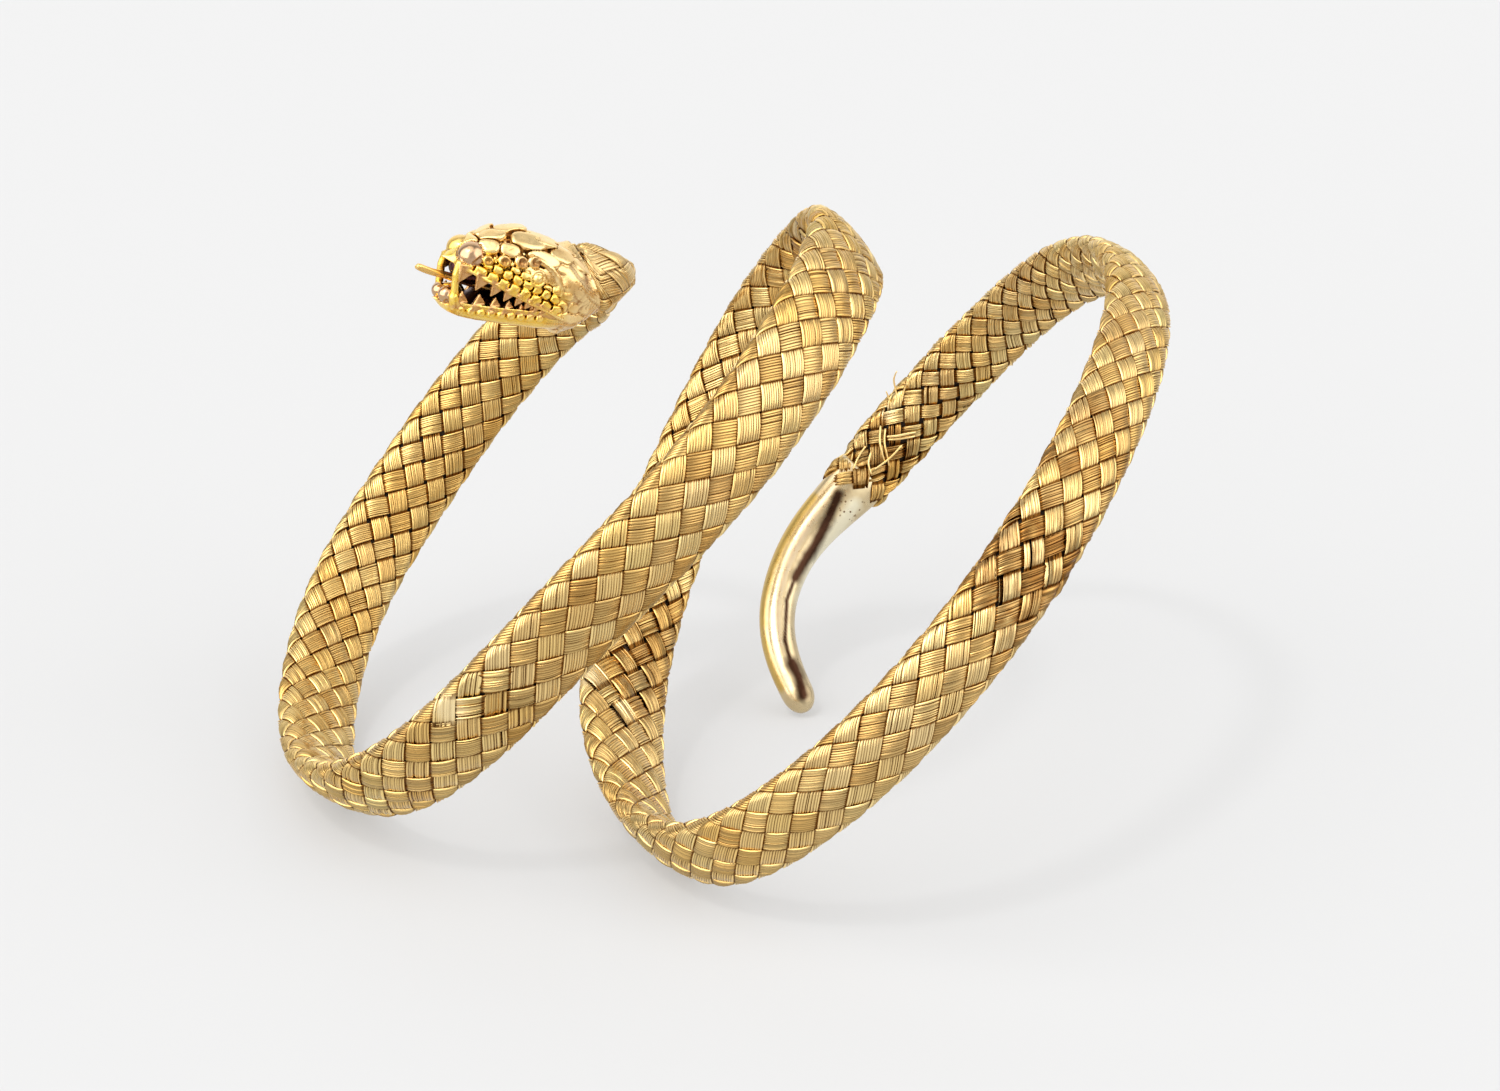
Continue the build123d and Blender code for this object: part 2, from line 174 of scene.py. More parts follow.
def ring_blur(grid, times):
    """Smooth a grid round its rows, which are closed rings."""
    for _ in range(times):
        grid = (np.roll(grid, 1, 1) + 2 * grid + np.roll(grid, -1, 1)) / 4
    return grid


def ring_ways(one, two, sides):
    """Directions round from one to two, for rows of both."""
    turn = np.linspace(0, 2 * pi, sides, endpoint=False)[:, None]
    return np.cos(turn) * one[:, None] + np.sin(turn) * two[:, None]


def unit(rows):
    """Rows of directions, each made 1 long."""
    return rows / np.maximum(np.linalg.norm(rows, axis=-1, keepdims=True), 1e-12)


def lattice_noise(points, size, seed):
    """Smooth noise from -1 to 1 of points in mm; size is its grain in mm."""
    place = np.asarray(points, float) / size + seed * 17.31
    cell = np.floor(place).astype(np.int64)
    share = eased(place - cell)
    total = 0
    for corner in product((0, 1), repeat=3):
        key = 0
        for k, prime in enumerate((73856093, 19349663, 83492791)):
            key = key ^ (cell[..., k] + corner[k]) * prime
        key = (key ^ (key >> 13)) * 1274126177 & 0x7FFFFFFF
        value = ((key ^ (key >> 15)) & 0xFFFF) / 32767.5 - 1
        weights = [share[..., k] if corner[k] else 1 - share[..., k] for k in range(3)]
        total = total + value * (weights[0] * weights[1] * weights[2])
    return total


def new_mesh(name, points, faces, attributes=None, sharp=None, material=None):
    """A smooth mesh object from points in mm and faces; attributes and sharp hold a value for each point.

    An edge is sharp where both its ends are.
    """
    mesh = bpy.data.meshes.new(name)
    points = np.asarray(points, np.float32).reshape(-1, 3) * MM
    faces = np.asarray(faces, np.int32)
    mesh.vertices.add(len(points))
    mesh.vertices.foreach_set("co", points.ravel())
    mesh.loops.add(faces.size)
    mesh.loops.foreach_set("vertex_index", faces.ravel())
    mesh.polygons.add(len(faces))
    mesh.polygons.foreach_set("loop_start", np.arange(0, faces.size, faces.shape[1], dtype=np.int32))
    mesh.update(calc_edges=True)
    mesh.polygons.foreach_set("use_smooth", np.ones(len(faces), bool))
    for key, values in (attributes or {}).items():
        layer = mesh.attributes.new(key, "FLOAT", "POINT")
        layer.data.foreach_set("value", np.asarray(values, np.float32).ravel())
    if sharp is not None:
        ends = np.zeros(len(mesh.edges) * 2, np.int32)
        mesh.edges.foreach_get("vertices", ends)
        layer = mesh.attributes.new("sharp_edge", "BOOLEAN", "EDGE")
        layer.data.foreach_set("value", np.asarray(sharp, bool)[ends.reshape(-1, 2)].all(1))
    mesh.validate()
    thing = bpy.data.objects.new(name, mesh)
    bpy.context.scene.collection.objects.link(thing)
    if material:
        mesh.materials.append(material)
    return thing


def grid_faces(rows, columns, closed=True):
    """Quads over rows of places; closed joins each row's end to its start."""
    r, c = np.meshgrid(np.arange(rows - 1), np.arange(columns if closed else columns - 1), indexing="ij")
    n = (c + 1) % columns
    quads = [r * columns + c, r * columns + n, (r + 1) * columns + n, (r + 1) * columns + c]
    return np.stack(quads, -1).reshape(-1, 4)


# The band's skin

lean = radians(loop_lean)
loop_up = np.array([sin(lean), 0, cos(lean)])
loop_back = np.array([0.0, 1, 0])
loop_axis = np.array([cos(lean), 0, -sin(lean)])


def spokes(turns):
    """Directions out from the coil's axis at turns."""
    angle = 2 * pi * turns[:, None]
    return np.cos(angle) * loop_up + np.sin(angle) * loop_back


def coil_points(rows):
    """The places of rows of turn, reach and ahead, with the length of the way to each."""
    places = spokes(rows[:, 0]) * (loop_radius * rows[:, 1:2]) + loop_axis * (turn_pitch * rows[:, 2:3])
    places[:, 0] += turn_pitch * rows[:, 0]
    places += set_down
    return places, np.r_[0, np.cumsum(np.linalg.norm(np.diff(places, axis=0), axis=1))]


row_points, row_length = coil_points(band_rows)

skin_step = 0.3            # mm along the band between two rows of the skin's grid
around = 112               # places round the band
lengths = np.arange(0.02, row_length[-1] - 0.01, skin_step)
turn_at, _ = spline(row_length, band_rows[:, [0, 3]], lengths)
lengths = lengths[turn_at[:, 0] < weave_end]
turn_at = turn_at[:len(lengths)]
turns = turn_at[:, 0]
middle, along = spline(row_length, row_points, lengths)
along = unit(along)
spoke = spokes(turns)
spoke = unit(spoke - (spoke * along).sum(1)[:, None] * along)
side = np.cross(along, spoke)
roll = np.radians(turn_at[:, 1])[:, None]
wide_way = side * np.cos(roll) - spoke * np.sin(roll)
thick_way = unit(np.cross(wide_way, along))


def tree_of(node):
    """A CAD node's mesh in mm, made ready for rays to be cast at it."""
    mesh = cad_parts[node].data
    return BVHTree.FromPolygons([v.co / MM for v in mesh.vertices], [p.vertices[:] for p in mesh.polygons])


body_tree, tail_tree = tree_of("woven_body"), tree_of("tail_tip")
theta = np.linspace(0, 2 * pi, 361)[:-1:3]
ray_out, ray_up = 4.4 * np.cos(theta), 1.9 * np.sin(theta)      # rays to an oval like the band's section
ray_limit = 6.5            # mm to the farthest place on the band's own skin
skin = np.zeros((len(lengths), around, 3))
for k in range(len(lengths)):
    rays = unit(ray_out[:, None] * wide_way[k] + ray_up[:, None] * thick_way[k])
    skin_tree = body_tree if turns[k] < band_end else tail_tree
    hits = [skin_tree.ray_cast(Vector(middle[k]), Vector(ray)) for ray in rays]
    ring = np.array([hit[0] for hit in hits if hit[0] is not None and hit[3] < ray_limit])
    closed = np.vstack([ring, ring[:1]])
    reach = np.r_[0, np.cumsum(np.linalg.norm(np.diff(closed, axis=0), axis=1))]
    places = np.linspace(0, reach[-1], around + 1)[:-1]
    skin[k] = np.stack([np.interp(places, reach, closed[:, c]) for c in range(3)], -1)
skin = ring_blur(skin, 3)
for _ in range(4):
    skin[1:-1] = (skin[:-2] + 2 * skin[1:-1] + skin[2:]) / 4
neck_share = held((neck_turn - turns) / neck_fade)[:, None]
for plane_place, plane_out in neck_planes:
    beyond = (skin - plane_place) @ plane_out
    skin -= (neck_share * neck_press * np.clip(beyond, 0, press_depth))[..., None] * plane_out
past_band = turns - band_end
over_tail = held((past_band + 0.004) / 0.006) * (1 - 0.35 * held(past_band / 0.03))
skin += unit(skin - skin.mean(1, keepdims=True)) * over_tail_lift * over_tail[:, None, None]
skin_normal = unit(np.cross(np.gradient(skin, axis=0), np.roll(skin, -1, 1) - np.roll(skin, 1, 1)))
for _ in range(2):
    skin_normal = unit(ring_blur(skin_normal, 1))

period = np.interp(turns, period_rows[:, 0], period_rows[:, 1])
periods = np.r_[0, np.cumsum(skin_step / period[:-1])]      # diamonds counted along the band


def on_skin(count_along, share_round):
    """The skin's point, normal and grid row at a place counted in diamonds and round the band."""
    row = np.interp(count_along, periods, np.arange(len(periods)))
    column = np.mod(share_round, 1.0) * around
    r0 = np.clip(np.floor(row).astype(int), 0, len(periods) - 2)
    c0 = np.floor(column).astype(int) % around
    c1 = (c0 + 1) % around
    fr, fc = (row - r0)[..., None], (column - np.floor(column))[..., None]
    mixed = []
    for grid in (skin, skin_normal):
        low = grid[r0, c0] * (1 - fc) + grid[r0, c1] * fc
        high = grid[r0 + 1, c0] * (1 - fc) + grid[r0 + 1, c1] * fc
        mixed.append(low * (1 - fr) + high * fr)
    return mixed[0], unit(mixed[1]), row


# Materials

def node_material(name):
    """A new material with its node tree and its shader."""
    material = bpy.data.materials.new(name)
    material.use_nodes = True
    tree = material.node_tree
    shader = tree.nodes["Principled BSDF"]
    return material, tree, shader


def ramp(tree, factor, stops):
    """Colours, or single greys, at places along a factor."""
    node = tree.nodes.new("ShaderNodeValToRGB")
    points = node.color_ramp.elements
    while len(points) < len(stops):
        points.new(0.5)
    for point, (place, colour) in zip(points, stops):
        point.position = place
        point.color = (*colour, 1) if len(colour) == 3 else (colour[0],) * 3 + (1,)
    tree.links.new(factor, node.inputs["Fac"])
    return node.outputs["Color"]


def greys(tree, place, scale, low, high, detail=3.0):
    """A cloud of greys; low and high are each a level of the noise and the grey there."""
    return ramp(tree, noise(tree, place, scale, detail), [(low[0], low[1:]), (high[0], high[1:])])


def noise(tree, vector, scale, detail=3.0):
    """A noise texture's grey at a vector; scale counts its grains in a metre."""
    node = tree.nodes.new("ShaderNodeTexNoise")
    node.inputs["Scale"].default_value = scale
    node.inputs["Detail"].default_value = detail
    node.inputs["Roughness"].default_value = 0.55
    tree.links.new(vector, node.inputs["Vector"])
    return node.outputs["Fac"]


def feed(tree, value, socket):
    """Link a socket to a value, or set a number or a colour on it."""
    if isinstance(value, bpy.types.NodeSocket):
        tree.links.new(value, socket)
    else:
        socket.default_value = (*value, 1) if isinstance(value, tuple) else value


def mix(tree, factor, first, second):
    """A blend of two colours by a factor."""
    node = tree.nodes.new("ShaderNodeMix")
    node.data_type = "RGBA"
    for number, value in ((0, factor), (6, first), (7, second)):
        feed(tree, value, node.inputs[number])
    return node.outputs[2]


def attribute(tree, name):
    """A mark that is kept for each point of the mesh."""
    node = tree.nodes.new("ShaderNodeAttribute")
    node.attribute_name = name
    return node.outputs["Fac"]


def layered(tree, colour, layers):
    """A colour with others laid over it where the marks of the mesh's points say."""
    for mark, over in layers:
        colour = mix(tree, attribute(tree, mark), colour, over)
    return colour


def coordinates(tree):
    """Places on the piece itself, in metres."""
    return tree.nodes.new("ShaderNodeTexCoord").outputs["Object"]


def finish_metal(tree, shader, colour, rough, grain, strength, depth):
    """Make the shader a metal of a colour and a roughness, with a fine grain of some scale."""
    feed(tree, colour, shader.inputs["Base Color"])
    feed(tree, rough, shader.inputs["Roughness"])
    shader.inputs["Metallic"].default_value = 1.0
    bump = tree.nodes.new("ShaderNodeBump")
    bump.inputs["Strength"].default_value = strength
    bump.inputs["Distance"].default_value = depth
    feed(tree, noise(tree, coordinates(tree), grain), bump.inputs["Height"])
    feed(tree, bump.outputs["Normal"], shader.inputs["Normal"])


def wire_gold():
    """Woven gold wire: bright tops, partly worn and partly a painted highlight on the ribbons of one way;
    painted shade in the dips, grooves and gaps; tarnish in patches, and painted shade on the browner ribbons of
    the other way.
    """
    material, tree, shader = node_material("woven_gold_wire")
    place = coordinates(tree)
    tones = [(0.0, (0.88, 0.53, 0.13)), (0.5, (1.0, 0.70, 0.25)), (1.0, (1.0, 0.78, 0.32))]
    gold = ramp(tree, attribute(tree, "tone"), tones)
    gold = mix(tree, greys(tree, place, 90, (0.35, 0), (0.75, 0.35)), gold, (0.92, 0.60, 0.19))
    # the pale layer is lighter metal, partly wear and partly a painted highlight; the tarnish layer is tarnish
    # with painted shade; the darkest layer is painted shade in dips, grooves and gaps
    gold = layered(tree, gold, (("pale", (1.0, 0.80, 0.44)), ("tarnish_and_shade", (0.36, 0.18, 0.05)),
                                ("painted_shade", (0.15, 0.06, 0.010))))
    rough = greys(tree, place, 900, (0.3, 0.25), (0.75, 0.40), 4)
    finish_metal(tree, shader, gold, rough, 6000, 0.12, 0.00002)
    return material


def tongue_gold():
    """Deeper gold with broad cloudy changes, for the tongue."""
    material, tree, shader = node_material("cast_gold")
    place = coordinates(tree)
    cloud = greys(tree, place, 260, (0.35, 0), (0.7, 0.7), 4)
    colour = mix(tree, cloud, (0.86, 0.58, 0.20), (0.70, 0.40, 0.09))
    rough = greys(tree, place, 700, (0.3, 0.22), (0.8, 0.37))
    finish_metal(tree, shader, colour, rough, 2500, 0.2, 0.00005)
    return material


def dark_inside():
    """Painted shade: the brown dark that shows between the ribbons."""
    material, tree, shader = node_material("shadowed_inside")
    browns = [(0.3, (0.020, 0.009, 0.003)), (0.8, (0.06, 0.028, 0.01))]
    feed(tree, ramp(tree, noise(tree, coordinates(tree), 800), browns), shader.inputs["Base Color"])
    shader.inputs["Roughness"].default_value = 0.7
    return material


wire_material, tongue_material = wire_gold(), tongue_gold()


# The woven wire

def weave(family, first, last):
    """The numbers of the two ribbons wherever one of this family runs on top."""
    numbers = np.arange(-40, 400)
    i, j = np.meshgrid(numbers, numbers, indexing="ij")
    i, j = i.ravel(), j.ravel()
    keep = ((i + j) % 2 == family) & (i - j >= 0) & (i - j < 2 * ribbons)
    centre = (i + j + 1) / 2
    keep &= (centre > first) & (centre <= min(last, periods[-1] - 0.5))
    i, j = i[keep], j[keep]
    home, _, _ = on_skin((i + j + 1) / 2, (i - j) / (2 * ribbons))
    left = weave_cut + 0.35 * np.sin(3.1 * i + 1.7 * j)
    near_end = np.linalg.norm(home - skin[-1].mean(0), axis=1) < 9
    keep = ~near_end | (home @ tail_way < left)
    return i[keep], j[keep]


# places across a ribbon: its raw edge, then each wire's groove and top in turn, and the other edge
is_groove = np.arange(2 * wires + 1) % 2 == 0
across_places = np.r_[0.0, np.arange(2 * wires + 1) / (2 * wires), 1.0]
across_drop = np.r_[raw_edge_drop, np.where(is_groove, wire_round, 0.0), raw_edge_drop]
across_valley = np.r_[0.0, np.where(is_groove, 1.0, 0.0), 0.0]
across_drop[[1, -2]] = side_drop
across_valley[[1, -2]] = 0.0
along_places = np.array([-dive, 0.0, 0.07, 0.26, 0.5, 0.74, 0.93, 1.0, 1 + dive])[:, None]     # of its cell


def seen_marks(places):
    """Paleness, tarnish and looseness at places, from the marks."""
    total = np.zeros((*places.shape[:-1], 3))
    for row in marks_seen:
        away = np.linalg.norm(places - row[:3], axis=-1) / row[3]
        total = np.maximum(total, eased(held(1.5 - 1.5 * away))[..., None] * row[4:7])
    return total


def ribbon_height(share):
    """How far a ribbon lies below its highest place, along one cell."""
    wave = np.cos(pi * (share - 0.5))
    return relief * (np.sign(wave) * np.abs(wave) ** 0.7 - 1)


def woven_piece(name, first, last):
    """One stretch of the weave, with the ribbons of both ways."""
    points, faces, valley, base = [], [], [], 0
    marks = {"tone": [], "painted_shade": [], "tarnish_and_shade": [], "pale": []}
    rows, columns = len(along_places), len(across_places)
    quad = grid_faces(rows, columns, closed=False)
    u = along_places
    for family in (0, 1):
        # A value for each ribbon has the shape (count, 1, 1)
        i, j = (number[:, None, None] for number in weave(family, first, last))
        count = len(i)
        shape = (count, rows, columns)
        home, _, grid_row = on_skin((i + j + 1) / 2, (i - j) / (2 * ribbons))
        turn = np.interp(grid_row, np.arange(len(turns)), turns)
        gap, pale_turn, loose = (np.interp(turn, period_rows[:, 0], period_rows[:, k]) for k in (2, 3, 4))
        home_marks = seen_marks(home)
        loose = np.clip(loose + home_marks[..., 2], 0, 1.4)
        gap = gap * (1 + 0.5 * lattice_noise(home, 5.0, 3)) + 0.10 * loose * rng.random((count, 1, 1))
        wobble = rng.normal(0, 1, (count, 4)) * (1 + 0.8 * loose[:, 0])
        wobble = wobble.T[..., None, None]
        wire_shift = rng.normal(0, 0.12 / wires, (count, 1, columns)) * (1 + 2.2 * loose)
        wire_shift[:, :, [0, 1, -2, -1]] = 0
        t = gap / 2 + across_places * (1 - gap) + wire_shift
        t = t + 0.012 * wobble[0] + 0.02 * wobble[1] * (u - 0.5)
        a, b = (i + u, j + t) if family == 0 else (i + t, j + u)
        place_along, place_round = (a + b) / 2, (a - b) / (2 * ribbons)
        rough_place, _, _ = on_skin(place_along, place_round)       # where it lies before it wanders
        place_along = place_along + drift * lattice_noise(rough_place, drift_grain, 1)
        place_round = place_round + drift / ribbons * lattice_noise(rough_place, drift_grain, 2)
        place, normal, _ = on_skin(np.clip(place_along, 0.0, periods[-1]), place_round)

        wire_lift = rng.normal(0, wire_uneven, (count, 1, columns)) * (1 + 2.5 * loose)
        parted = rng.random((count, 1, columns)) ** 8 * across_valley * (0.12 + 0.3 * loose)
        height = (ribbon_height(u) - across_drop - parted) * (1 - 0.75 * held(home_marks[..., 0]))
        height = height + (across_valley == 0) * wire_lift
        height = height + weave_lift + 0.018 * wobble[2]
        points.append((place + normal * height[..., None]).reshape(-1, 3))

        marked = seen_marks(place)
        reflection_checker = np.interp(turn, reflection_checker_rows[:, 0], reflection_checker_rows[:, 1])
        tone = 0.5 + 0.22 * wobble[3] + 0.2 * lattice_noise(home, 7.0, 5)
        # painted shade: darker where a ribbon dips under its neighbours, in the grooves between wires, on the
        # turned-down raw edges and between parted wires, with less of it on pale marks
        painted_shade = held(-ribbon_height(u) / relief * 2.6 - 1.6) + across_valley * 0.75
        painted_shade = (painted_shade + (across_drop == raw_edge_drop) * 0.8 + parted * 3) * (1 - 0.7 * marked[..., 0])
        grime_and_shade = marked[..., 1] * held(0.75 + 0.7 * lattice_noise(place, 0.8, 8))
        grime_and_shade = grime_and_shade + 0.25 * held(lattice_noise(home, 3.5, 9) - 0.1)
        # painted shade: the ribbons of one way browner, in place of a darker reflection
        grime_and_shade = grime_and_shade + reflection_checker * (1 if family else -0.2) * (0.6 + 0.6 * rng.random((count, 1, 1)))
        light = pale_turn * 0.6 + 0.25 * lattice_noise(home, 4.0, 10)
        # painted highlight: the ribbons of the other way paler, in place of a brighter reflection
        if family == 0:
            light = light + reflection_checker * 0.9 * rng.random((count, 1, 1))
        looks = {"tone": tone, "painted_shade": painted_shade, "tarnish_and_shade": grime_and_shade, "pale": np.maximum(light, marked[..., 0])}
        for key, values in looks.items():
            marks[key].append(held(np.broadcast_to(values, shape)).ravel())
        valley.append(np.broadcast_to(across_valley > 0, shape).ravel())
        turned = quad if family == 0 else quad[:, ::-1]
        faces.append((turned[None] + (base + np.arange(count) * rows * columns)[:, None, None]).reshape(-1, 4))
        base += count * rows * columns
    marks = {key: np.concatenate(values) for key, values in marks.items()}
    piece = new_mesh(name, np.concatenate(points), np.concatenate(faces), marks, np.concatenate(valley),
                     wire_material)
    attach(piece, "root")
    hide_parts("woven_body")


stretches = 5              # the weave is parted in so many pieces
ends = np.linspace(0, periods[-1], stretches + 1)
ends[0], ends[-1] = -1, periods[-1] + 1
for k in range(stretches):
    woven_piece("woven_wire_%d" % (k + 1), ends[k], ends[k + 1])

# a dark sheet of painted shade under the weave, seen through its gaps
core = (skin - skin_normal * core_depth)[::3, ::2]
inside = new_mesh("band_inside", core, grid_faces(*core.shape[:2]), material=dark_inside())
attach(inside, "root")

# The cast head

head_step = 0.105          # mm between places of the grid that the head is modelled in
head_split = 6.0           # place along the head where its mesh is parted in two pieces
heading = radians(208.0)
skull_pitch, jaw_pitch = radians(33.0), radians(12.0)
mouth_corner = np.array([-15.971, 15.721, 46.961])
collar_home = np.array([-13.34, 17.12, 49.36])             # middle of the collar where it meets the band
collar_across, collar_up = np.array([0.404, -0.671, -0.622]), np.array([0.560, -0.356, 0.748])
forward = np.array([cos(heading), sin(heading), 0])
near = np.array([-sin(heading), cos(heading), 0])
skull_home = mouth_corner + 0.45 * forward - np.array([0, 0, 0.75])


def pitched(angle):
    """Rows of a jaw's frame: forward along the rim, out to the near side, up."""
    up = np.array([0, 0, 1.0])
    return np.stack([cos(angle) * forward + sin(angle) * up, near, cos(angle) * up - sin(angle) * forward])


skull_axes, jaw_axes = pitched(skull_pitch), pitched(jaw_pitch)
skull_shape = np.array([
    # along, half width, height
    (-2.2, 3.7, 4.3), (-1.0, 4.1, 5.3), (0.5, 4.3, 5.9), (2.5, 4.4, 6.15), (4.5, 4.35, 6.2), (6.5, 4.15, 6.15),
    (8.2, 3.85, 5.9), (9.7, 3.45, 5.3), (11.0, 3.05, 4.35), (12.0, 2.65, 3.35), (12.8, 2.2, 2.3),
    (13.3, 1.7, 1.45), (13.6, 0.9, 0.7), (13.7, 0.2, 0.2),
])
jaw_shape = np.array([
    # along, half width, depth
    (-2.0, 3.9, 2.2), (0.0, 4.15, 2.3), (2.6, 4.2, 2.3), (6.5, 3.65, 2.1), (10.4, 2.75, 1.8),
    (11.9, 2.2, 1.45), (12.9, 1.5, 0.95), (13.3, 0.8, 0.5), (13.45, 0.2, 0.2),
])
dome_power = 2.4
scale_tip = radians(7)     # how far each scale's front end is sunk
crown_scales = [
    # along, degrees up from the rim, half length, half breadth, rise
    (11.0, 74, 1.45, 1.05, 0.17), (8.9, 90, 1.75, 1.20, 0.20), (7.5, 61, 1.90, 1.12, 0.22),
    (5.5, 44, 1.90, 0.80, 0.20), (5.2, 80, 1.75, 1.30, 0.22), (3.3, 63, 1.50, 1.10, 0.20),
    (11.4, 47, 1.25, 0.80, 0.15), (9.3, 40, 1.10, 0.72, 0.15), (2.1, 90, 1.60, 1.10, 0.18),
    (1.5, 48, 1.35, 0.95, 0.18), (0.3, 70, 1.35, 1.10, 0.16), (12.6, 84, 0.90, 0.90, 0.12),
    (-0.9, 50, 1.20, 0.95, 0.14), (-1.2, 88, 1.20, 1.10, 0.12), (3.1, 42, 0.90, 0.55, 0.16),
]
cheek_scales = [
    # along, degrees up from the rim, half length, half breadth, rise
    (4.1, 14, 0.62, 0.55, 0.15), (2.9, 17, 0.66, 0.55, 0.15), (1.6, 20, 0.72, 0.60, 0.15),
    (1.7, 8, 0.70, 0.55, 0.14), (2.2, 28, 0.72, 0.60, 0.14), (0.4, 12, 0.72, 0.62, 0.13),
    (0.3, 25, 0.78, 0.66, 0.13), (-0.9, 18, 0.78, 0.66, 0.11), (-0.9, 33, 0.80, 0.70, 0.11),
    (0.6, 36, 0.80, 0.55, 0.13), (6.9, 17, 0.55, 0.45, 0.13), (8.1, 17, 0.55, 0.42, 0.13),
    (9.3, 14, 0.52, 0.40, 0.12), (10.4, 13, 0.48, 0.38, 0.12),
]
brow_beads = [
    # along, degrees up from the rim, radius
    (11.0, 21, 0.50), (9.5, 24, 0.58), (7.85, 29, 0.62), (6.55, 35, 0.58),
]
eye_at = (5.6, 20)
nostril_at = (12.0, 1.27, 1.38)
nostril_ball, chin_ball = 1.46, 0.86
eye_socket, eye_ball = 0.82, 0.56
ridge_round, rim_round, eye_ring_round = 0.30, 0.17, 0.15          # radii of raised lines
skull_wall, jaw_wall = 0.75, 0.70
tooth_thick, tooth_taper = 0.30, 0.20     # half the thickness of a tooth, and what its tip has less
collar_period = 3.4        # mm along the collar for each diamond of its worn weave
collar_wires = 7           # wires to a ribbon in that weave
throat_lift = np.array([0, 0, 1.75])       # from the mouth's corner up to the collar's front end
lip_rows = [(0.58, 9, 2.3, 12.5, 0.47), (1.46, 9, 2.9, 12.1, 0.42)]   # up, how many, from, to, half height
teeth = [
    # along, width, height
    (12.2, 1.70, 1.55), (10.5, 1.65, 1.55), (8.9, 1.45, 1.40), (7.5, 1.30, 1.20), (6.2, 1.15, 1.05),
    (5.1, 1.00, 0.90), (4.1, 0.85, 0.75), (3.3, 0.70, 0.60),
]


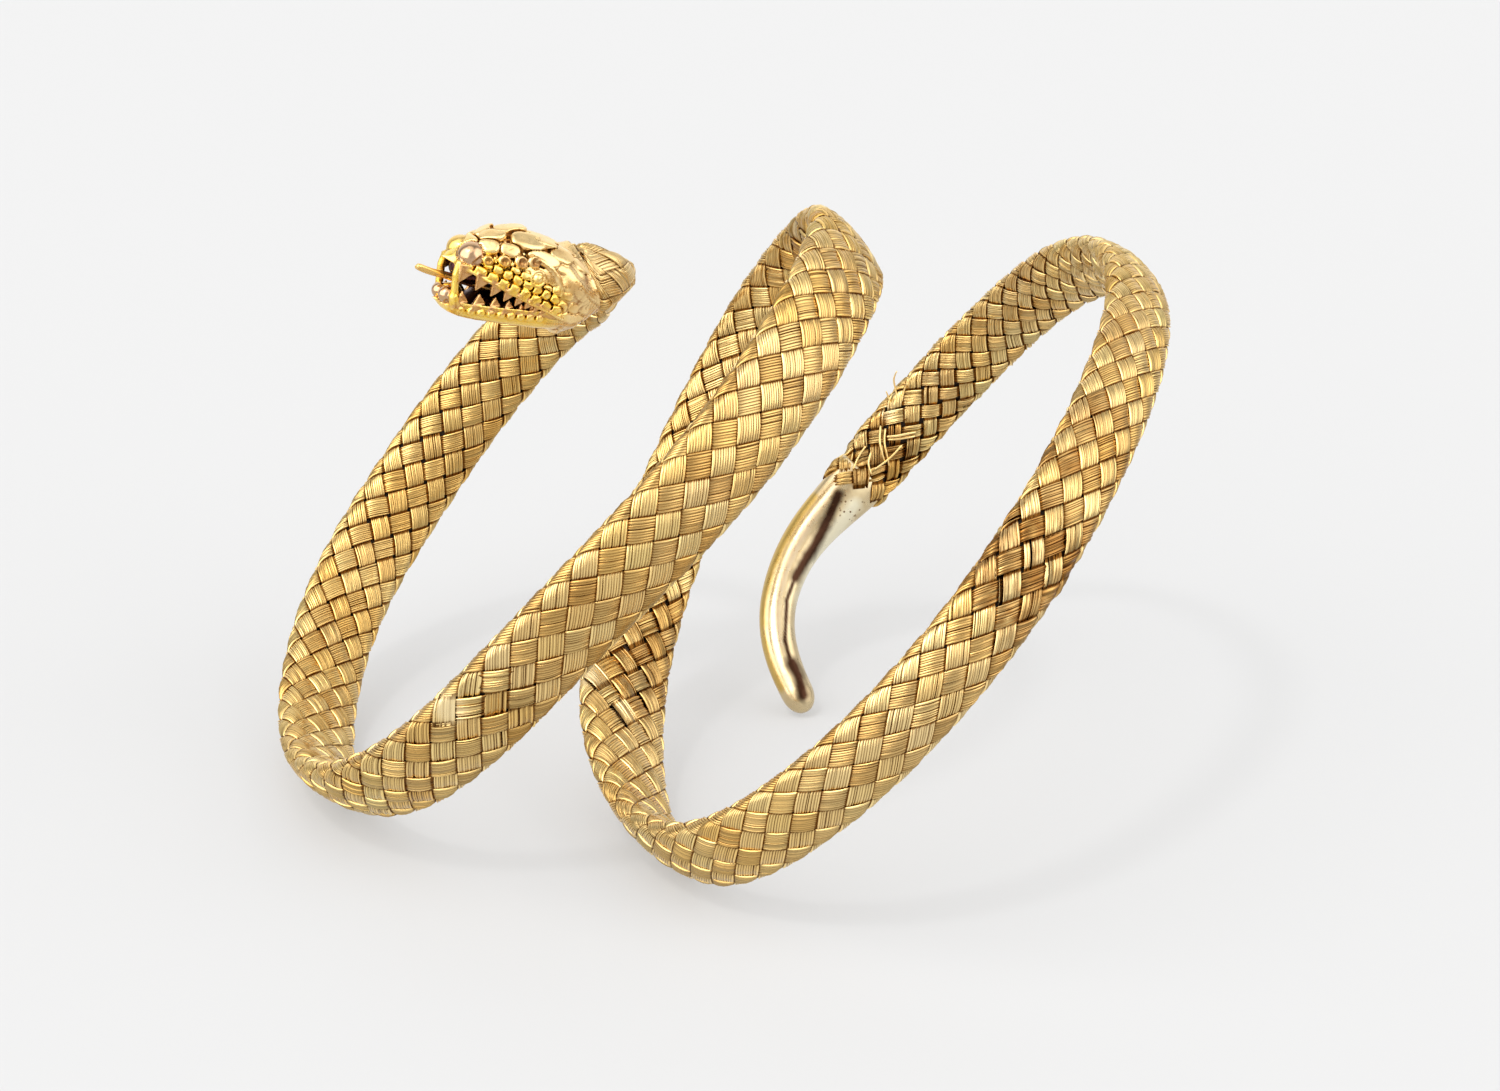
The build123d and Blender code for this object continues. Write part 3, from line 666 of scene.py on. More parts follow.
def head_grid():
    """Distances to the head's surface on a grid, negative in the metal, and those its looks need.

    The half that is modelled has y from 0 up; the other is its mirror image.
    """
    xs = np.arange(-5.2, 14.5, head_step)
    ys = np.arange(0, 5.9, head_step)
    zs = np.arange(-8.0, 7.4, head_step)
    gx, gy, gz = xs[:, None, None], ys[None, :, None], zs[None, None, :]
    smooth = np.exp(-0.5 * (np.arange(-12, 13) * head_step / 0.35) ** 2)
    smooth /= smooth.sum()

    def profile(shape, at, column):
        """A smoothed column of a shape's rows at places along it."""
        fine = np.arange(-8, 18, head_step)
        values = np.pad(np.interp(fine, shape[:, 0], shape[:, column], 0.02, 0.02), 12, "edge")
        return np.interp(at, fine, np.convolve(values, smooth, "valid"))

    def dome(shape, x, y, z, inset=0.0, low=1.0):
        """Distance to a rounded half tube; inset makes it narrower and low less high."""
        half = np.maximum(profile(shape, x, 1) - inset, 0.02)
        high = np.maximum(profile(shape, x, 2) * low - inset * (low == 1.0), 0.02)
        size = ((np.abs(y) / half) ** dome_power + (np.abs(z) / high) ** dome_power) ** (1 / dome_power) + 1e-6
        return np.sqrt(y * y + z * z) * (1 - 1 / size)

    def place(along, degrees):
        """The skull's surface so far along and so many degrees up from the rim."""
        half, high = profile(skull_shape, along, 1), profile(skull_shape, along, 2)
        a = radians(degrees)
        y, z = half * cos(a) ** (2 / dome_power), high * sin(a) ** (2 / dome_power)
        return np.array([along, y, z])

    def skin_axes(at):
        """Rows of a frame on the skull at a place: ahead, round and out."""
        slope = np.array([dome(skull_shape, *(at + step)) - dome(skull_shape, *(at - step))
                          for step in 0.05 * np.eye(3)])
        out = slope / np.linalg.norm(slope)
        ahead = np.array([1.0, 0, 0]) - out * out[0]
        ahead /= np.linalg.norm(ahead)
        return np.stack([ahead, np.cross(out, ahead), out])

    def turned_by(axes, turn, first, second):
        """A frame's rows after a turn of one of its axes away from another."""
        axes = axes.copy()
        axes[first], axes[second] = (axes[first] * cos(turn) - axes[second] * sin(turn),
                                     axes[second] * cos(turn) + axes[first] * sin(turn))
        return axes

    def window(at, reach):
        """The part of the grid round a place, and its places as seen from there."""
        spans = []
        for axis, centre in ((xs, at[0]), (ys, at[1]), (zs, at[2])):
            low, high = np.searchsorted(axis, (centre - reach, centre + reach))
            spans.append(slice(low, high))
        return tuple(spans), gx[spans[0]] - at[0], gy[:, spans[1]] - at[1], gz[:, :, spans[2]] - at[2]

    def lens(grid, at, axes, radii, power, moat, sunk, square=2.0):
        """Add a flat scale with a fine groove round it; square is 2 for an oval, more for a block."""
        spans, x, y, z = window(at, max(radii) + 0.5)
        u, v, w = (along_way(axis, x, y, z) for axis in axes)
        plan = (np.abs(u / radii[0]) ** square + np.abs(v / radii[1]) ** square) ** (1 / square)
        size = (plan ** power + np.abs((w + sunk) / radii[2]) ** power) ** (1 / power)
        d = (size - 1) * radii[2]
        grid[spans] = np.minimum(np.maximum(grid[spans], moat - d), d)

    def ball(grid, at, radius, cut=False):
        """Add a ball, or cut one out."""
        spans, x, y, z = window(at, radius + 0.5)
        d = distance(x, y, z) - radius
        grid[spans] = np.maximum(grid[spans], -d) if cut else np.minimum(grid[spans], d)

    def rod(grid, points, radius):
        """Add a round rod along points."""
        for first, second in zip(points[:-1], points[1:]):
            middle, line = (first + second) / 2, second - first
            spans, *places = window(middle, np.linalg.norm(line) / 2 + radius + 0.4)
            places = [places[k] + middle[k] - first[k] for k in range(3)]
            share = held(along_way(line, *places) / (line @ line))
            d = distance(*(places[k] - share * line[k] for k in range(3))) - radius
            grid[spans] = np.minimum(grid[spans], d)

    skull = np.maximum(dome(skull_shape, gx, gy, gz), -gz - 0.08) + np.zeros((len(xs), len(ys), len(zs)))
    pits = np.ones_like(skull)
    for along, degrees, long, broad, rise in crown_scales + cheek_scales:
        at = place(along, degrees)
        axes = turned_by(skin_axes(at), scale_tip, 0, 2)
        lens(skull, at, axes, (long, broad, 0.5), 4.0, 0.11, 0.5 - rise, 2.6)
    for up, many, first, last, tall in lip_rows:
        pitch = (last - first) / (many - 1)
        for along in np.linspace(first, last, many):
            half, high = profile(skull_shape, along, 1), profile(skull_shape, along, 2)
            y = half * (1 - (up / high) ** dome_power) ** (1 / dome_power)
            at = np.array([along, y, up])
            axes = turned_by(skin_axes(at), -0.34 * sin(along * 7.3 + up * 5), 0, 1)
            size = 1 + 0.14 * sin(along * 4.1 + up * 9)
            radii = (0.55 * pitch * size, tall * (2 - size), 0.5)
            lens(skull, at, axes, radii, 3.0, 0.12, 0.27 + 0.3 * (size - 1), 2.8)
    for along, degrees, radius in brow_beads:
        at = place(along, degrees)
        axes = skin_axes(at)
        lens(skull, at, axes, (radius * 1.25, radius * 1.05, 0.5), 3.0, 0.08, 0.22)
        pit = at + axes[2] * 0.42 - axes[0] * 0.12 + axes[1] * 0.05
        ball(skull, pit, radius * 0.82, cut=True)
        ball(pits, pit, radius * 0.82)
    ridge = [place(*at) for at in ((6.3, 39), (5.4, 38), (4.4, 35), (3.5, 30), (2.8, 23))]
    rod(skull, ridge, ridge_round)
    eye = place(*eye_at)
    eye_axes = skin_axes(eye)
    ball(skull, eye + eye_axes[2] * 0.25, eye_socket, cut=True)
    ring = [eye + eye_axes[2] * 0.06 + 0.76 * (cos(a) * eye_axes[0] + sin(a) * eye_axes[1])
            for a in np.linspace(0, 2 * pi, 17)]
    rod(skull, ring, eye_ring_round)
    ball(skull, eye - eye_axes[2] * 0.08, eye_ball)
    nostril = np.array(nostril_at)
    ball(skull, nostril, nostril_ball + 0.1, cut=True)
    ball(skull, nostril, nostril_ball)
    rim = [np.array([x, profile(skull_shape, x, 1), 0.02]) for x in np.linspace(1.0, 13.3, 26)]
    rod(skull, rim, rim_round)
    skull = np.maximum(skull, -0.6 * gx - 0.8 * gz - 0.2)
    skull_hollow = np.maximum(dome(skull_shape, gx, gy, gz, skull_wall, 0.26), np.maximum(gx - 12.9, 1.2 - gx))
    skull = np.maximum(skull, -np.maximum(skull_hollow, gz - 3))

    turned = jaw_axes @ skull_axes.T
    offset = (skull_home - mouth_corner) @ jaw_axes.T
    jx = offset[0] + turned[0, 0] * gx + turned[0, 2] * gz
    jz = offset[2] + turned[2, 0] * gx + turned[2, 2] * gz
    jaw = np.maximum(dome(jaw_shape, jx, gy, jz), jz - 0.05)
    jaw = np.maximum(jaw, -0.9 - jx)
    jaw_hollow = np.maximum(dome(jaw_shape, jx, gy, jz, jaw_wall, 0.45), np.maximum(jx - 12.3, 1.0 - jx))
    jaw = np.maximum(jaw, -jaw_hollow)
    back = np.linalg.inv(turned)

    def from_jaw(at):
        """A place given in the jaw's frame, in the skull's."""
        return back @ (np.asarray(at, float) - offset)

    lower_rim = [from_jaw((x, profile(jaw_shape, x, 1) - 0.12, 0.02)) for x in np.linspace(2.0, 12.9, 22)]
    rod(jaw, lower_rim, rim_round)
    for along in np.linspace(3.6, 11.6, 9):
        at = from_jaw((along, profile(jaw_shape, along, 1) - 0.04, -0.62))
        lens(jaw, at, np.stack([turned[0], turned[2], (0, 1, 0)]), (0.44, 0.36, 0.4), 5.0, 0.07, 0.22)
    chin = from_jaw((12.75, 0.75, 0.55))
    ball(jaw, chin, chin_ball + 0.1, cut=True)
    ball(jaw, chin, chin_ball)
    rod(jaw, [from_jaw((12.1, 1.80, -0.3)), from_jaw((12.4, 1.80, 0.6))], 0.55)
    rod(jaw, [from_jaw((12.4, 1.80, 0.6)), np.array([12.8, 1.80, -0.9]), np.array([13.0, 1.70, 0.2])], 0.42)

    def tooth(grid, root, down, ahead, tall, wide):
        """Add a flat pointed tooth that leans ahead a little."""
        spans, x, y, z = window(root + down * tall / 2, tall / 2 + 0.9)
        side_way = np.cross(down, ahead)
        s, q, m = (along_way(way, x, y, z) for way in (ahead, down, side_way))
        q = q + tall / 2
        share = np.clip(q / tall, -0.4, 1)
        s = s - 0.16 * share
        body = np.maximum(np.abs(s) - wide / 2 * (1 - share), np.abs(m) - (tooth_thick - tooth_taper * share))
        body = np.maximum(body * 0.85, np.maximum(-q - 0.35, q - tall))
        grid[spans] = np.minimum(grid[spans], body)

    fangs = np.ones_like(skull)
    for along, wide, tall in teeth:
        root = np.array([along, profile(skull_shape, along, 1) - 0.35, 0.0])
        tooth(fangs, root, np.array([0, 0, -1.0]), np.array([1.0, 0, 0]), tall, wide)
        below = along - 0.7
        root = from_jaw((below, profile(jaw_shape, below, 1) - 0.42, 0.0))
        tooth(fangs, root, turned[2], turned[0], 0.9 * tall, wide)
    jaw = np.minimum(jaw, fangs)

    bed_high = np.interp(jx, (1, 4, 9, 11.5), (0.9, 1.6, 1.9, 0.3))
    bed = np.sqrt((gy / 2.0) ** 2 + ((jz + 0.6) / bed_high) ** 2) - 1
    bed = reduce(np.maximum, (bed * 1.2, -1.1 - jz, 1.0 - jx, jx - 11.5))
    palate = distance((gx - 11.0) / 1.9, gy / 1.7, (gz + 0.25) / 1.25) - 1
    bed = np.minimum(bed, palate)
    lump = distance((jx - 11.9) / 1.1, gy / 1.5, (jz - 0.5) / 1.1) - 1
    half_grid = reduce(np.minimum, (skull, jaw, bed, lump))
    mouth = reduce(np.minimum, (np.abs(skull_hollow), np.abs(jaw_hollow), bed))
    shine = np.minimum(*(distance(gx - at[0], gy - at[1], gz - at[2]) - radius
                         for at, radius in ((nostril, nostril_ball), (chin, chin_ball))))
    both = [np.concatenate([g[:, :0:-1], g], 1) for g in (half_grid, mouth, shine, pits, fangs)]
    all_y = np.r_[-ys[:0:-1], ys]
    return xs, all_y, zs, both


def neck_grid(xs, ys, zs):
    """Distances to the collar that runs from the throat back to the woven band."""
    throat = mouth_corner + throat_lift + 0.5 * forward
    home, axis = skull_axes @ (throat - skull_home), skull_axes @ (collar_home - throat)
    long = np.linalg.norm(axis)
    axis /= long
    x, y, z = xs[:, None, None] - home[0], ys[None, :, None] - home[1], zs[None, None, :] - home[2]
    share = along_way(axis, x, y, z) / long
    within = np.clip(share, -0.4, 1.05)
    blend = eased(held(within))

    def blended(first, second):
        return first + (second - first) * blend

    throat_up = skull_axes[2] * 0.8 + jaw_axes[2] * 0.2
    across, up = ([blended(*pair) for pair in zip(skull_axes @ first, skull_axes @ second)]
                  for first, second in ((near, collar_across), (throat_up, collar_up)))
    x, y, z = (value - axis[k] * long * within for k, value in enumerate((x, y, z)))
    u, v = along_way(across, x, y, z), along_way(up, x, y, z)
    half, high = blended(4.15, 4.0), blended(3.35, 2.12)
    size = (np.abs(u / half) ** 2.5 + np.abs(v / high) ** 2.5) ** 0.4 + 1e-6
    d = np.sqrt(u * u + v * v) * (1 - 1 / size)
    return np.maximum(d, np.maximum((share - 1.04) * long, (-0.38 - share) * long))


def surface_nets(grid, xs, ys, zs):
    """Quads over the zero surface of a grid, with their points in the grid's own axes."""
    inside = grid < 0
    shape = np.array(grid.shape) - 1
    total = np.zeros((*shape, 3), np.float32)
    count = np.zeros(shape, np.int8)
    for axis in range(3):
        first, second = [slice(None)] * 3, [slice(None)] * 3
        first[axis], second[axis] = slice(0, -1), slice(1, None)
        a, b = grid[tuple(first)], grid[tuple(second)]
        cross = (a < 0) != (b < 0)
        share = np.where(cross, a / np.where(cross, a - b, 1), 0)
        others = [k for k in range(3) if k != axis]
        for corner in product((0, 1), repeat=2):
            cut = [slice(None)] * 3
            for k, other in zip(corner, others):
                cut[other] = slice(k, shape[other] + k)
            here, part = cross[tuple(cut)], share[tuple(cut)]
            count += here
            total[..., axis] += part * here
            for k, other in zip(corner, others):
                total[..., other] += k * here
    number = -np.ones(shape, np.int64)
    active = np.argwhere(count > 0)
    number[tuple(active.T)] = np.arange(len(active))
    spots = active + total[tuple(active.T)] / count[tuple(active.T)][:, None]
    points = np.stack([np.interp(spots[:, k], np.arange(len(axis)), axis)
                       for k, axis in enumerate((xs, ys, zs))], -1)
    faces = []
    for axis in range(3):
        steps = np.eye(3, dtype=int)[[k for k in range(3) if k != axis]]
        first, second = [slice(1, -1)] * 3, [slice(1, -1)] * 3
        first[axis], second[axis] = slice(0, -1), slice(1, None)
        a, b = inside[tuple(first)], inside[tuple(second)]
        for sign in (True, False):
            cell = np.argwhere((a != b) & (a == sign))
            ring = np.stack([number[tuple((cell + p * steps[0] + q * steps[1]).T)]
                             for p, q in ((0, 0), (1, 0), (1, 1), (0, 1))], -1)
            faces.append(ring if sign != (axis == 1) else ring[:, ::-1])
    return points, np.concatenate(faces)


def blurred(grid, width):
    """A box blur of a grid, width places each way."""
    for axis in range(3):
        margins = [(width + 1, width) if k == axis else (0, 0) for k in range(3)]
        total = np.cumsum(np.pad(grid, margins, "edge"), axis)
        high = np.take(total, np.arange(2 * width + 1, total.shape[axis]), axis)
        low = np.take(total, np.arange(0, total.shape[axis] - 2 * width - 1), axis)
        grid = (high - low) / (2 * width + 1)
    return grid


xs, ys, zs, (metal, mouth, shine, pits, fangs) = head_grid()
neck = neck_grid(xs, ys, zs)
metal = np.minimum(metal, neck)
metal = 0.5 * metal + 0.5 * blurred(metal, 1)
local, head_faces = surface_nets(metal, xs, ys, zs)
soft = blurred(np.clip(metal, -0.5, 0.5), 3)
nearest = tuple(np.clip(np.rint((local[:, k] - axis[0]) / head_step).astype(int), 0, len(axis) - 1)
                for k, axis in enumerate((xs, ys, zs)))


def close_to(grid, level, fall):
    """A mark for the head's points that are close to the zero surface of a grid."""
    return held(level - np.abs(grid[nearest]) * fall)


# painted shade: darker in the head's recesses and round the pits beside the brow beads
painted_shade = np.maximum(held(-soft[nearest] * 13 - 0.10), 0.85 * close_to(pits, 1.5, 9))
ridge_mark = held(soft[nearest] * 6 - 0.2)
neck_mark = close_to(neck, 1, 6) * (local[:, 0] < 1.2)
# painted shade: near black on the walls inside the mouth and on the bed in the lower jaw
mouth_shade_mark = held(1.6 - mouth[nearest] * 9) * (local[:, 0] > 1.0)
# the bulbs are polished, and their darker colour is a painted reflection, a quarter as strong on the upper far
# side
shine_mark = close_to(shine, 1.4, 8) * np.where((local[:, 1] < 0) & (local[:, 2] > 0), 0.25, 1)
tooth_mark = close_to(fangs, 1.2, 7)
head_points = skull_home + local @ skull_axes

# the worn weave on the collar
collar = head_points - collar_home
collar_along = collar @ unit(collar_home - mouth_corner - throat_lift)
round_ribbons = np.arctan2(collar @ collar_up, collar @ collar_across) / (2 * pi) * ribbons
lattice_a, lattice_b = collar_along / collar_period + round_ribbons, collar_along / collar_period - round_ribbons
over = (np.floor(lattice_a) + np.floor(lattice_b)) % 2 == 0
strand = np.where(over, lattice_b, lattice_a) * collar_wires
groove = np.cos(2 * pi * strand)
edge = np.minimum(np.abs(lattice_a - np.rint(lattice_a)), np.abs(lattice_b - np.rint(lattice_b)))
braid = 0.03 * groove - 0.09 * held(1 - edge / 0.07)
for swell, grain, seed in ((0.02, 0.9, 11), (0.012, 0.35, 12)):
    head_points = head_points + swell * (lattice_noise(head_points, grain, seed) * (1 - shine_mark))[:, None]
worn = neck_mark * held(0.75 + 0.6 * lattice_noise(head_points, 1.6, 14))
collar_out = unit(collar - collar_along[:, None] * unit(collar_home - mouth_corner))
head_points = head_points + collar_out * (braid * worn)[:, None]
# painted shade in the collar's grooves and along the edges of its diamonds
painted_shade = held(painted_shade + worn * (0.35 * held(-groove) * 0.6 + 0.75 * held(1 - edge / 0.06)))


def gold_casting():
    """Cast gold: yellow worn ridges, brown painted shade in the recesses, dark painted shade inside the mouth,
    and polished bulbs in a darker painted reflection colour.
    """
    material, tree, shader = node_material("cast_gold")
    place = coordinates(tree)
    cloud = greys(tree, place, 420, (0.35, 0), (0.7, 0.8), 4)
    colour = mix(tree, cloud, (0.88, 0.65, 0.31), (0.80, 0.53, 0.21))
    lemon = mix(tree, noise(tree, place, 600), (0.98, 0.72, 0.13), (0.90, 0.52, 0.06))
    # painted shade: brown in the recesses and grooves, near black inside the mouth; the polished bulbs take a
    # darker colour as a painted reflection
    colour = layered(tree, colour, (
        ("lemon", lemon), ("ridge", (0.97, 0.77, 0.38)), ("worn", (0.86, 0.62, 0.29)),
        ("shine", (0.56, 0.36, 0.21)), ("tooth", (0.66, 0.38, 0.16)), ("painted_shade", (0.30, 0.12, 0.03)),
        ("mouth", (0.06, 0.022, 0.022))))
    rough = layered(tree, greys(tree, place, 900, (0.3, 0.22), (0.75, 0.38)), [("shine", (0.14, 0.14, 0.14))])
    finish_metal(tree, shader, colour, rough, 3500, 0.25, 0.00004)
    return material


lemon_mark = held(1.15 - (local[:, 2] - 1.6) / 1.4) * held((local[:, 0] - 0.2) / 2.5)
head_marks = {"lemon": lemon_mark, "painted_shade": painted_shade, "ridge": ridge_mark, "worn": neck_mark,
              "mouth": mouth_shade_mark, "shine": shine_mark, "tooth": tooth_mark}
head_gold = gold_casting()
corners = head_points[head_faces]
face_out = np.cross(corners[:, 2] - corners[:, 0], corners[:, 3] - corners[:, 1])
head_out = np.zeros_like(head_points)
for k in range(4):
    np.add.at(head_out, head_faces[:, k], face_out)
head_out = unit(head_out)
in_front = local[head_faces[:, 0], 0] > head_split
for name, chosen in (("cast_head_front", in_front), ("cast_head_back", ~in_front)):
    used, renumbered = np.unique(head_faces[chosen], return_inverse=True)
    piece = new_mesh(name, head_points[used], renumbered.reshape(-1, 4),
                     {key: values[used] for key, values in head_marks.items()}, material=head_gold)
    piece.data.normals_split_custom_set_from_vertices(head_out[used])
    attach(piece, "root")
    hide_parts("snake_head")

tongue_runs = [
    # places along the jaw, out to the near side and up from its rim, with the radius there
    [(6.0, 0.0, 0.7, 0.45), (9.0, 0.0, 1.5, 0.46), (11.8, 0.05, 2.1, 0.42), (13.6, 0.05, 2.5, 0.36)],
    [(13.2, 0.15, 2.40, 0.38), (14.3, 0.30, 2.66, 0.32), (15.3, 0.36, 2.94, 0.30), (16.1, 0.38, 3.14, 0.32),
     (16.35, 0.38, 3.18, 0.16)],
    [(13.2, -0.1, 2.35, 0.36), (14.2, -0.34, 2.40, 0.28), (15.2, -0.42, 2.62, 0.25), (15.9, -0.44, 2.86, 0.22),
     (16.0, -0.44, 2.90, 0.1)],
]


def tube(runs, frame_home, axes, sides=12, steps=10):
    """Round rods through rows of (place, radius) in a frame; closed at both ends."""
    points, faces, base = [], [], 0
    for run in runs:
        run = np.array(run, float)
        at = np.arange(len(run), dtype=float)
        fine = np.linspace(0, len(run) - 1, steps * (len(run) - 1) + 1)
        values, slope = spline(at, run, fine)
        way = unit(slope[:, :3])
        one = unit(np.cross(way, (0.1, 0.9, 0.35)))
        two = np.cross(way, one)
        rings = values[:, None, :3] + values[:, 3:, None] * ring_ways(one, two, sides)
        rows = len(fine)
        tips = np.stack([values[k, :3] + way[k] * values[k, 3] * out for k, out in ((0, -0.6), (-1, 0.6))])
        points += [rings.reshape(-1, 3), tips]
        quads = base + grid_faces(rows, sides)
        faces += [quads[:, [0, 1, 2]], quads[:, [0, 2, 3]]]
        c, n = np.arange(sides), (np.arange(sides) + 1) % sides
        last = (rows - 1) * sides
        faces += [base + np.stack([n, c, np.full(sides, rows * sides)], -1),
                  base + np.stack([last + c, last + n, np.full(sides, rows * sides + 1)], -1)]
        base += rows * sides + 2
    return frame_home + np.concatenate(points) @ axes, np.concatenate(faces)


tongue = new_mesh("forked_tongue", *tube(tongue_runs, mouth_corner, jaw_axes), material=tongue_material)
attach(tongue, "root")
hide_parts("tongue")

loose_wires = [
    # places x, y, z in mm, with the wire's radius there
    [(19.4, 36.5, 28.6, 0.11), (19.2, 36.8, 30.0, 0.10), (19.0, 36.7, 31.2, 0.09), (19.3, 36.5, 32.2, 0.06)],
    [(19.9, 36.4, 28.9, 0.11), (20.1, 36.6, 30.0, 0.10), (20.4, 36.4, 30.9, 0.06)],
    [(18.8, 36.4, 28.0, 0.11), (18.5, 36.7, 29.0, 0.10), (18.2, 36.6, 29.9, 0.06)],
    [(18.3, 34.4, 25.6, 0.13), (19.4, 34.4, 25.7, 0.14), (20.6, 34.6, 25.9, 0.14), (21.3, 35.0, 25.9, 0.12)],
    [(18.4, 34.6, 25.2, 0.12), (19.4, 34.5, 25.3, 0.13), (20.7, 34.8, 25.4, 0.13), (21.2, 35.1, 25.4, 0.12)],
    [(17.6, 34.9, 26.6, 0.11), (17.5, 34.0, 25.2, 0.11), (17.8, 33.7, 23.8, 0.11), (18.1, 33.9, 22.8, 0.09)],
    [(18.1, 34.9, 26.3, 0.11), (18.0, 34.1, 25.0, 0.11), (18.3, 33.8, 23.6, 0.11), (18.5, 34.1, 22.4, 0.09)],
    [(16.6, 34.0, 24.0, 0.11), (16.3, 33.3, 23.0, 0.11), (16.6, 33.0, 21.9, 0.10)],
    [(19.8, 34.4, 24.6, 0.11), (18.9, 33.9, 23.7, 0.11), (17.9, 33.6, 22.9, 0.11), (17.0, 33.4, 22.3, 0.09)],
    [(16.0, 34.6, 24.4, 0.11), (15.2, 34.3, 23.2, 0.11), (14.7, 33.6, 22.2, 0.08)],
]
broken_points, broken_faces = tube(loose_wires, np.zeros(3), np.eye(3), 8, 6)
broken_tone = 0.6 + 0.4 * lattice_noise(broken_points, 1.5, 15)
broken = new_mesh("broken_wires", broken_points, broken_faces, {"tone": broken_tone, "pale": 0.6 * broken_tone},
                  material=wire_material)
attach(broken, "root")

# The polished tail

tail_course = np.array([
    # turn, reach, ahead
    (2.3125, 1.167, -0.188), (2.350, 1.205, -0.265), (2.375, 1.235, -0.290), (2.400, 1.255, -0.245),
    (2.424, 1.270, -0.065), (2.4315, 1.268, 0.007),
])
tail_round = 2.4           # mm of the tail's end that is rounded
tail_sides = 72
tail_seen = np.array([0.02, -0.93, 0.37])          # the side of the tail that its marks are on
# Painted reflections and shade on the polished tail, laid on the side it is seen from: a dark streak and a dark
# line below it, a dark shade near the end, a pale gleam, a pale highlight on one facet and a browner olive side.
tail_marks = {
    # places x, y, z in mm along each mark, its half width in mm
    "streak": ([(13.1, 32.2, 19.9), (12.1, 31.2, 17.6), (10.7, 29.9, 15.2), (9.4, 28.6, 13.4),
                (8.5, 27.5, 12.2)], 0.58),
    "line": ([(8.5, 27.5, 12.3), (7.6, 25.5, 10.5), (7.4, 22.2, 7.3), (8.1, 20.4, 5.2)], 0.22),
    "facet_highlight": ([(14.8, 32.2, 18.6), (13.3, 31.5, 16.5), (11.6, 30.4, 14.3), (10.1, 28.4, 12.2),
               (9.3, 26.0, 10.0)], 0.75),
    "shade": ([(8.1, 20.6, 5.4), (8.8, 19.8, 4.3), (9.3, 18.4, 2.7)], 0.62),
    "gleam": ([(12.6, 32.8, 20.5), (10.6, 31.4, 18.2), (8.7, 29.3, 15.3), (7.3, 27.0, 12.8), (6.5, 24.9, 10.8),
               (6.4, 23.3, 9.1), (6.7, 21.5, 7.1)], 0.36),
    "olive_reflection": ([(10.4, 32.5, 19.5), (7.9, 30.5, 16.5), (5.8, 27.4, 13.1), (4.9, 25.1, 10.7), (4.8, 22.8, 8.2),
               (5.5, 20.7, 5.7), (6.8, 18.8, 3.3)], 0.50),
}
tail_points, tail_length = coil_points(tail_course)
ring_at = np.arange(0.12, tail_length[-1] + 0.15, 0.2)
ring_middle, ring_way = spline(tail_length, tail_points, np.minimum(ring_at, tail_length[-1]))
ring_way = unit(ring_way)
ring_middle = ring_middle + ring_way * np.maximum(ring_at - tail_length[-1], 0)[:, None]
ring_side = unit(np.cross(ring_way, (0.0, 0, 1)))
ring_up = np.cross(ring_side, ring_way)
tail_ways = ring_ways(ring_side, ring_up, tail_sides)
sound = ring_at < tail_length[-1] - tail_round
reach = np.zeros((len(ring_at), tail_sides))
for k in np.where(sound)[0]:
    hits = [tail_tree.ray_cast(Vector(ring_middle[k]), Vector(way)) for way in tail_ways[k]]
    far = np.array([np.nan if hit[0] is None else hit[3] for hit in hits])
    reach[k] = np.where(np.isnan(far), np.nanmean(far), far)       # a ray that met nothing takes the mean
last_sound = np.where(sound)[0][-1]
into_end = held((ring_at - ring_at[last_sound]) / (ring_at[-1] - ring_at[last_sound]))
reach[~sound] = reach[last_sound]
reach *= np.sqrt(np.maximum(1 - into_end ** 2.2, 0.0004))[:, None]
tail_rings = ring_middle[:, None] + ring_blur(reach, 2)[..., None] * tail_ways
down_tail = held((ring_at / ring_at[-1] - 0.22) / 0.35)
tail_rings[..., 0] += 0.48 * eased(down_tail)[:, None]
tail_out = unit(tail_rings - tail_rings.mean(1, keepdims=True)).reshape(-1, 3)
tail_flat = tail_rings.reshape(-1, 3)
facing = held(tail_out @ tail_seen * 4 + 0.6)


def near_line(places, line, half_width):
    """1 on a line of places and 0 beyond its width, as looked at from the tail's seen side."""
    least = np.full(len(places), 1e9)
    for first, second in zip(np.array(line[:-1]), np.array(line[1:])):
        span = second - first
        away = places - first
        span = span - tail_seen * (span @ tail_seen)
        away = away - np.outer(away @ tail_seen, tail_seen)
        share = held(away @ span / (span @ span))
        least = np.minimum(least, np.linalg.norm(away - share[:, None] * span, axis=1))
    return held(1.5 - least / half_width * (1 + 0.25 * lattice_noise(places, 0.7, 21)))


def polished_gold():
    """Worn pale gold of the tail, with painted reflections: a brown streak, a gleam, a pale facet and a duller
    edge; and fine pits.
    """
    material, tree, shader = node_material("polished_gold_tail")
    place = coordinates(tree)
    cloud = greys(tree, place, 260, (0.35, 0), (0.7, 0.7), 4)
    colour = mix(tree, cloud, (0.66, 0.54, 0.33), (0.57, 0.43, 0.23))
    # painted reflections: a pale highlight on the facet, a browner side, a gleam and a dark streak
    colour = layered(tree, colour, (("facet_highlight", (0.86, 0.79, 0.58)), ("olive_reflection", (0.62, 0.42, 0.12)),
                                    ("gleam", (0.66, 0.53, 0.35)), ("streak", (0.050, 0.022, 0.012))))
    pits = tree.nodes.new("ShaderNodeTexVoronoi")
    pits.inputs["Scale"].default_value = 1900
    feed(tree, place, pits.inputs["Vector"])
    pit = ramp(tree, pits.outputs["Distance"], [(0.16, (1,)), (0.26, (0,))])
    pit = layered(tree, (0, 0, 0), [("pitted", pit)])
    colour = mix(tree, pit, colour, (0.16, 0.08, 0.03))
    rough = greys(tree, place, 700, (0.3, 0.24), (0.8, 0.38))
    finish_metal(tree, shader, colour, rough, 2500, 0.25, 0.00005)
    return material


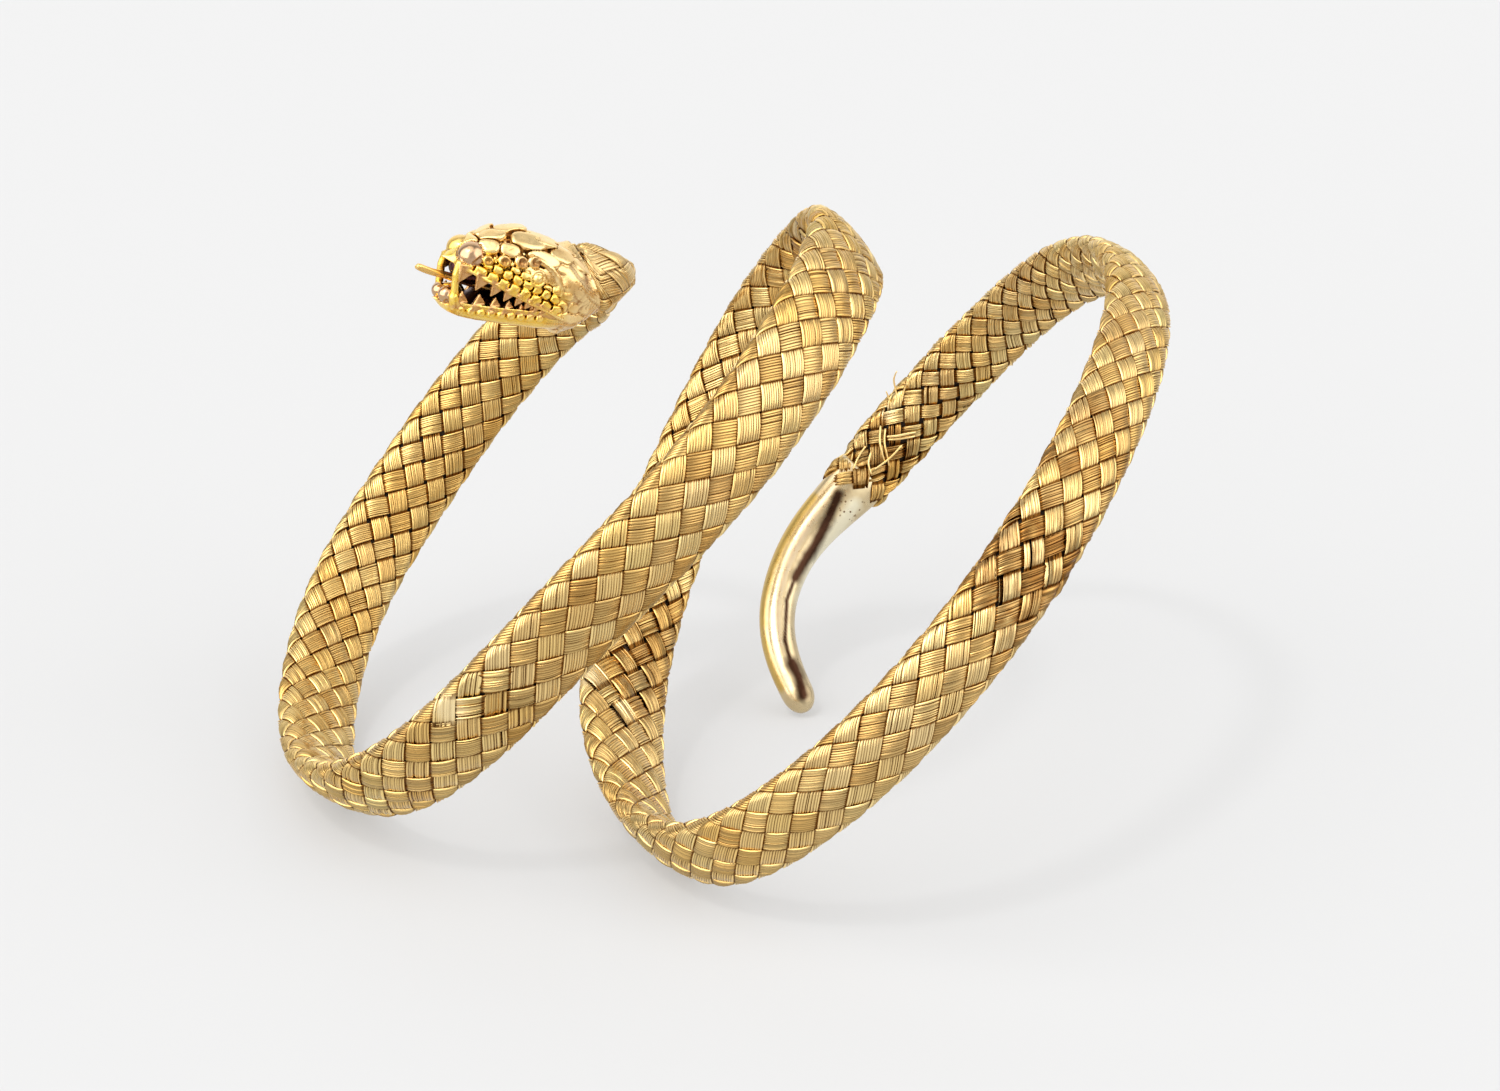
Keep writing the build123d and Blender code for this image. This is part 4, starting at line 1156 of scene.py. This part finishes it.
painted = {key: near_line(tail_flat, *value) * facing for key, value in tail_marks.items()}
# the dark painted reflections and the painted shade together darken the tail
tail_dark_reflection = reduce(np.maximum, [painted[key] for key in ("streak", "shade", "line")])
tail_speck = held(1.4 - np.linalg.norm(tail_flat - (14.4, 32.2, 18.3), axis=1) / 1.8)
tail_looks = {key: painted[key] for key in ("gleam", "olive_reflection", "facet_highlight")}
tail_looks.update(streak=tail_dark_reflection, pitted=tail_speck)
tail = new_mesh("polished_tail", tail_flat, grid_faces(*tail_rings.shape[:2]), tail_looks,
                material=polished_gold())
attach(tail, "root")
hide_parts("tail_tip")

# Floor, light and camera

floor_reach = 3000         # mm
floor_corners = np.array([(-1, -1, 0), (1, -1, 0), (1, 1, 0), (-1, 1, 0)]) * floor_reach
floor = new_mesh("floor", floor_corners, [(0, 1, 2, 3)])
paper, _, paper_shader = node_material("pale_paper")
paper_looks = {"Base Color": (0.28, 0.28, 0.28, 1), "Roughness": 0.9, "Emission Color": (1, 1, 1, 1),
               "Emission Strength": 0.388, "Specular IOR Level": 0.0}
for key, value in paper_looks.items():
    paper_shader.inputs[key].default_value = value
floor.data.materials.append(paper)

sun_data = bpy.data.lights.new("key_light", "SUN")
sun_data.energy = 0.50
sun_data.angle = radians(5.5)      # how soft the shadow's edge is
sun = bpy.data.objects.new("key_light", sun_data)
bpy.context.scene.collection.objects.link(sun)
sun.rotation_mode = "QUATERNION"
sun.rotation_quaternion = Vector((light_slope[0], light_slope[1], -1)).to_track_quat("-Z", "Y")

world = bpy.data.worlds.new("studio")
bpy.context.scene.world = world
world.use_nodes = True
tree = world.node_tree
backdrop = tree.nodes["Background"]
direction = tree.nodes.new("ShaderNodeTexCoord").outputs["Generated"]
soft_boxes = [
    # direction x, y, z, cosine where it begins, cosine where it is full, level
    (-0.80, -0.45, 0.40, 0.66, 0.90, 2.6), (0.86, -0.25, 0.42, 0.70, 0.93, 2.1),
    (0.0, 0.97, 0.25, 0.45, 0.92, 0.95), (-0.20, -0.30, 0.93, 0.78, 0.96, 1.6),
    (0.10, -0.98, 0.10, 0.30, 0.90, 0.40),
]
level_light = 0.37         # the light from everywhere, to which each soft box is added
for x, y, z, begins, full, level in soft_boxes:
    dot = tree.nodes.new("ShaderNodeVectorMath")
    dot.operation = "DOT_PRODUCT"
    tree.links.new(direction, dot.inputs[0])
    dot.inputs[1].default_value = Vector((x, y, z)).normalized()
    step = tree.nodes.new("ShaderNodeMapRange")
    step.interpolation_type = "SMOOTHSTEP"
    step.inputs["From Min"].default_value = begins
    step.inputs["From Max"].default_value = full
    step.inputs["To Max"].default_value = level
    tree.links.new(dot.outputs["Value"], step.inputs["Value"])
    total = tree.nodes.new("ShaderNodeMath")
    feed(tree, step.outputs["Result"], total.inputs[0])
    feed(tree, level_light, total.inputs[1])
    level_light = total.outputs[0]
lamp = tree.nodes.new("ShaderNodeLightPath")
seen = tree.nodes.new("ShaderNodeMix")
tree.links.new(lamp.outputs["Is Camera Ray"], seen.inputs[0])
tree.links.new(level_light, seen.inputs[2])
seen.inputs[3].default_value = 0.9         # the level where the camera sees past the floor
tree.links.new(seen.outputs[0], backdrop.inputs["Color"])
backdrop.inputs["Strength"].default_value = 1.0

camera_data = bpy.data.cameras.new("camera")
camera_data.sensor_fit = "HORIZONTAL"
camera_data.sensor_width = 36.0
camera_data.lens = focal_px / image_wide * camera_data.sensor_width
camera_data.clip_end = 20
camera = bpy.data.objects.new("camera", camera_data)
bpy.context.scene.collection.objects.link(camera)
camera.location = Vector(camera_place) * MM
camera.rotation_euler = (radians(90 - camera_pitch), 0, 0)
bpy.context.scene.camera = camera
bpy.context.scene.view_settings.view_transform = "Standard"
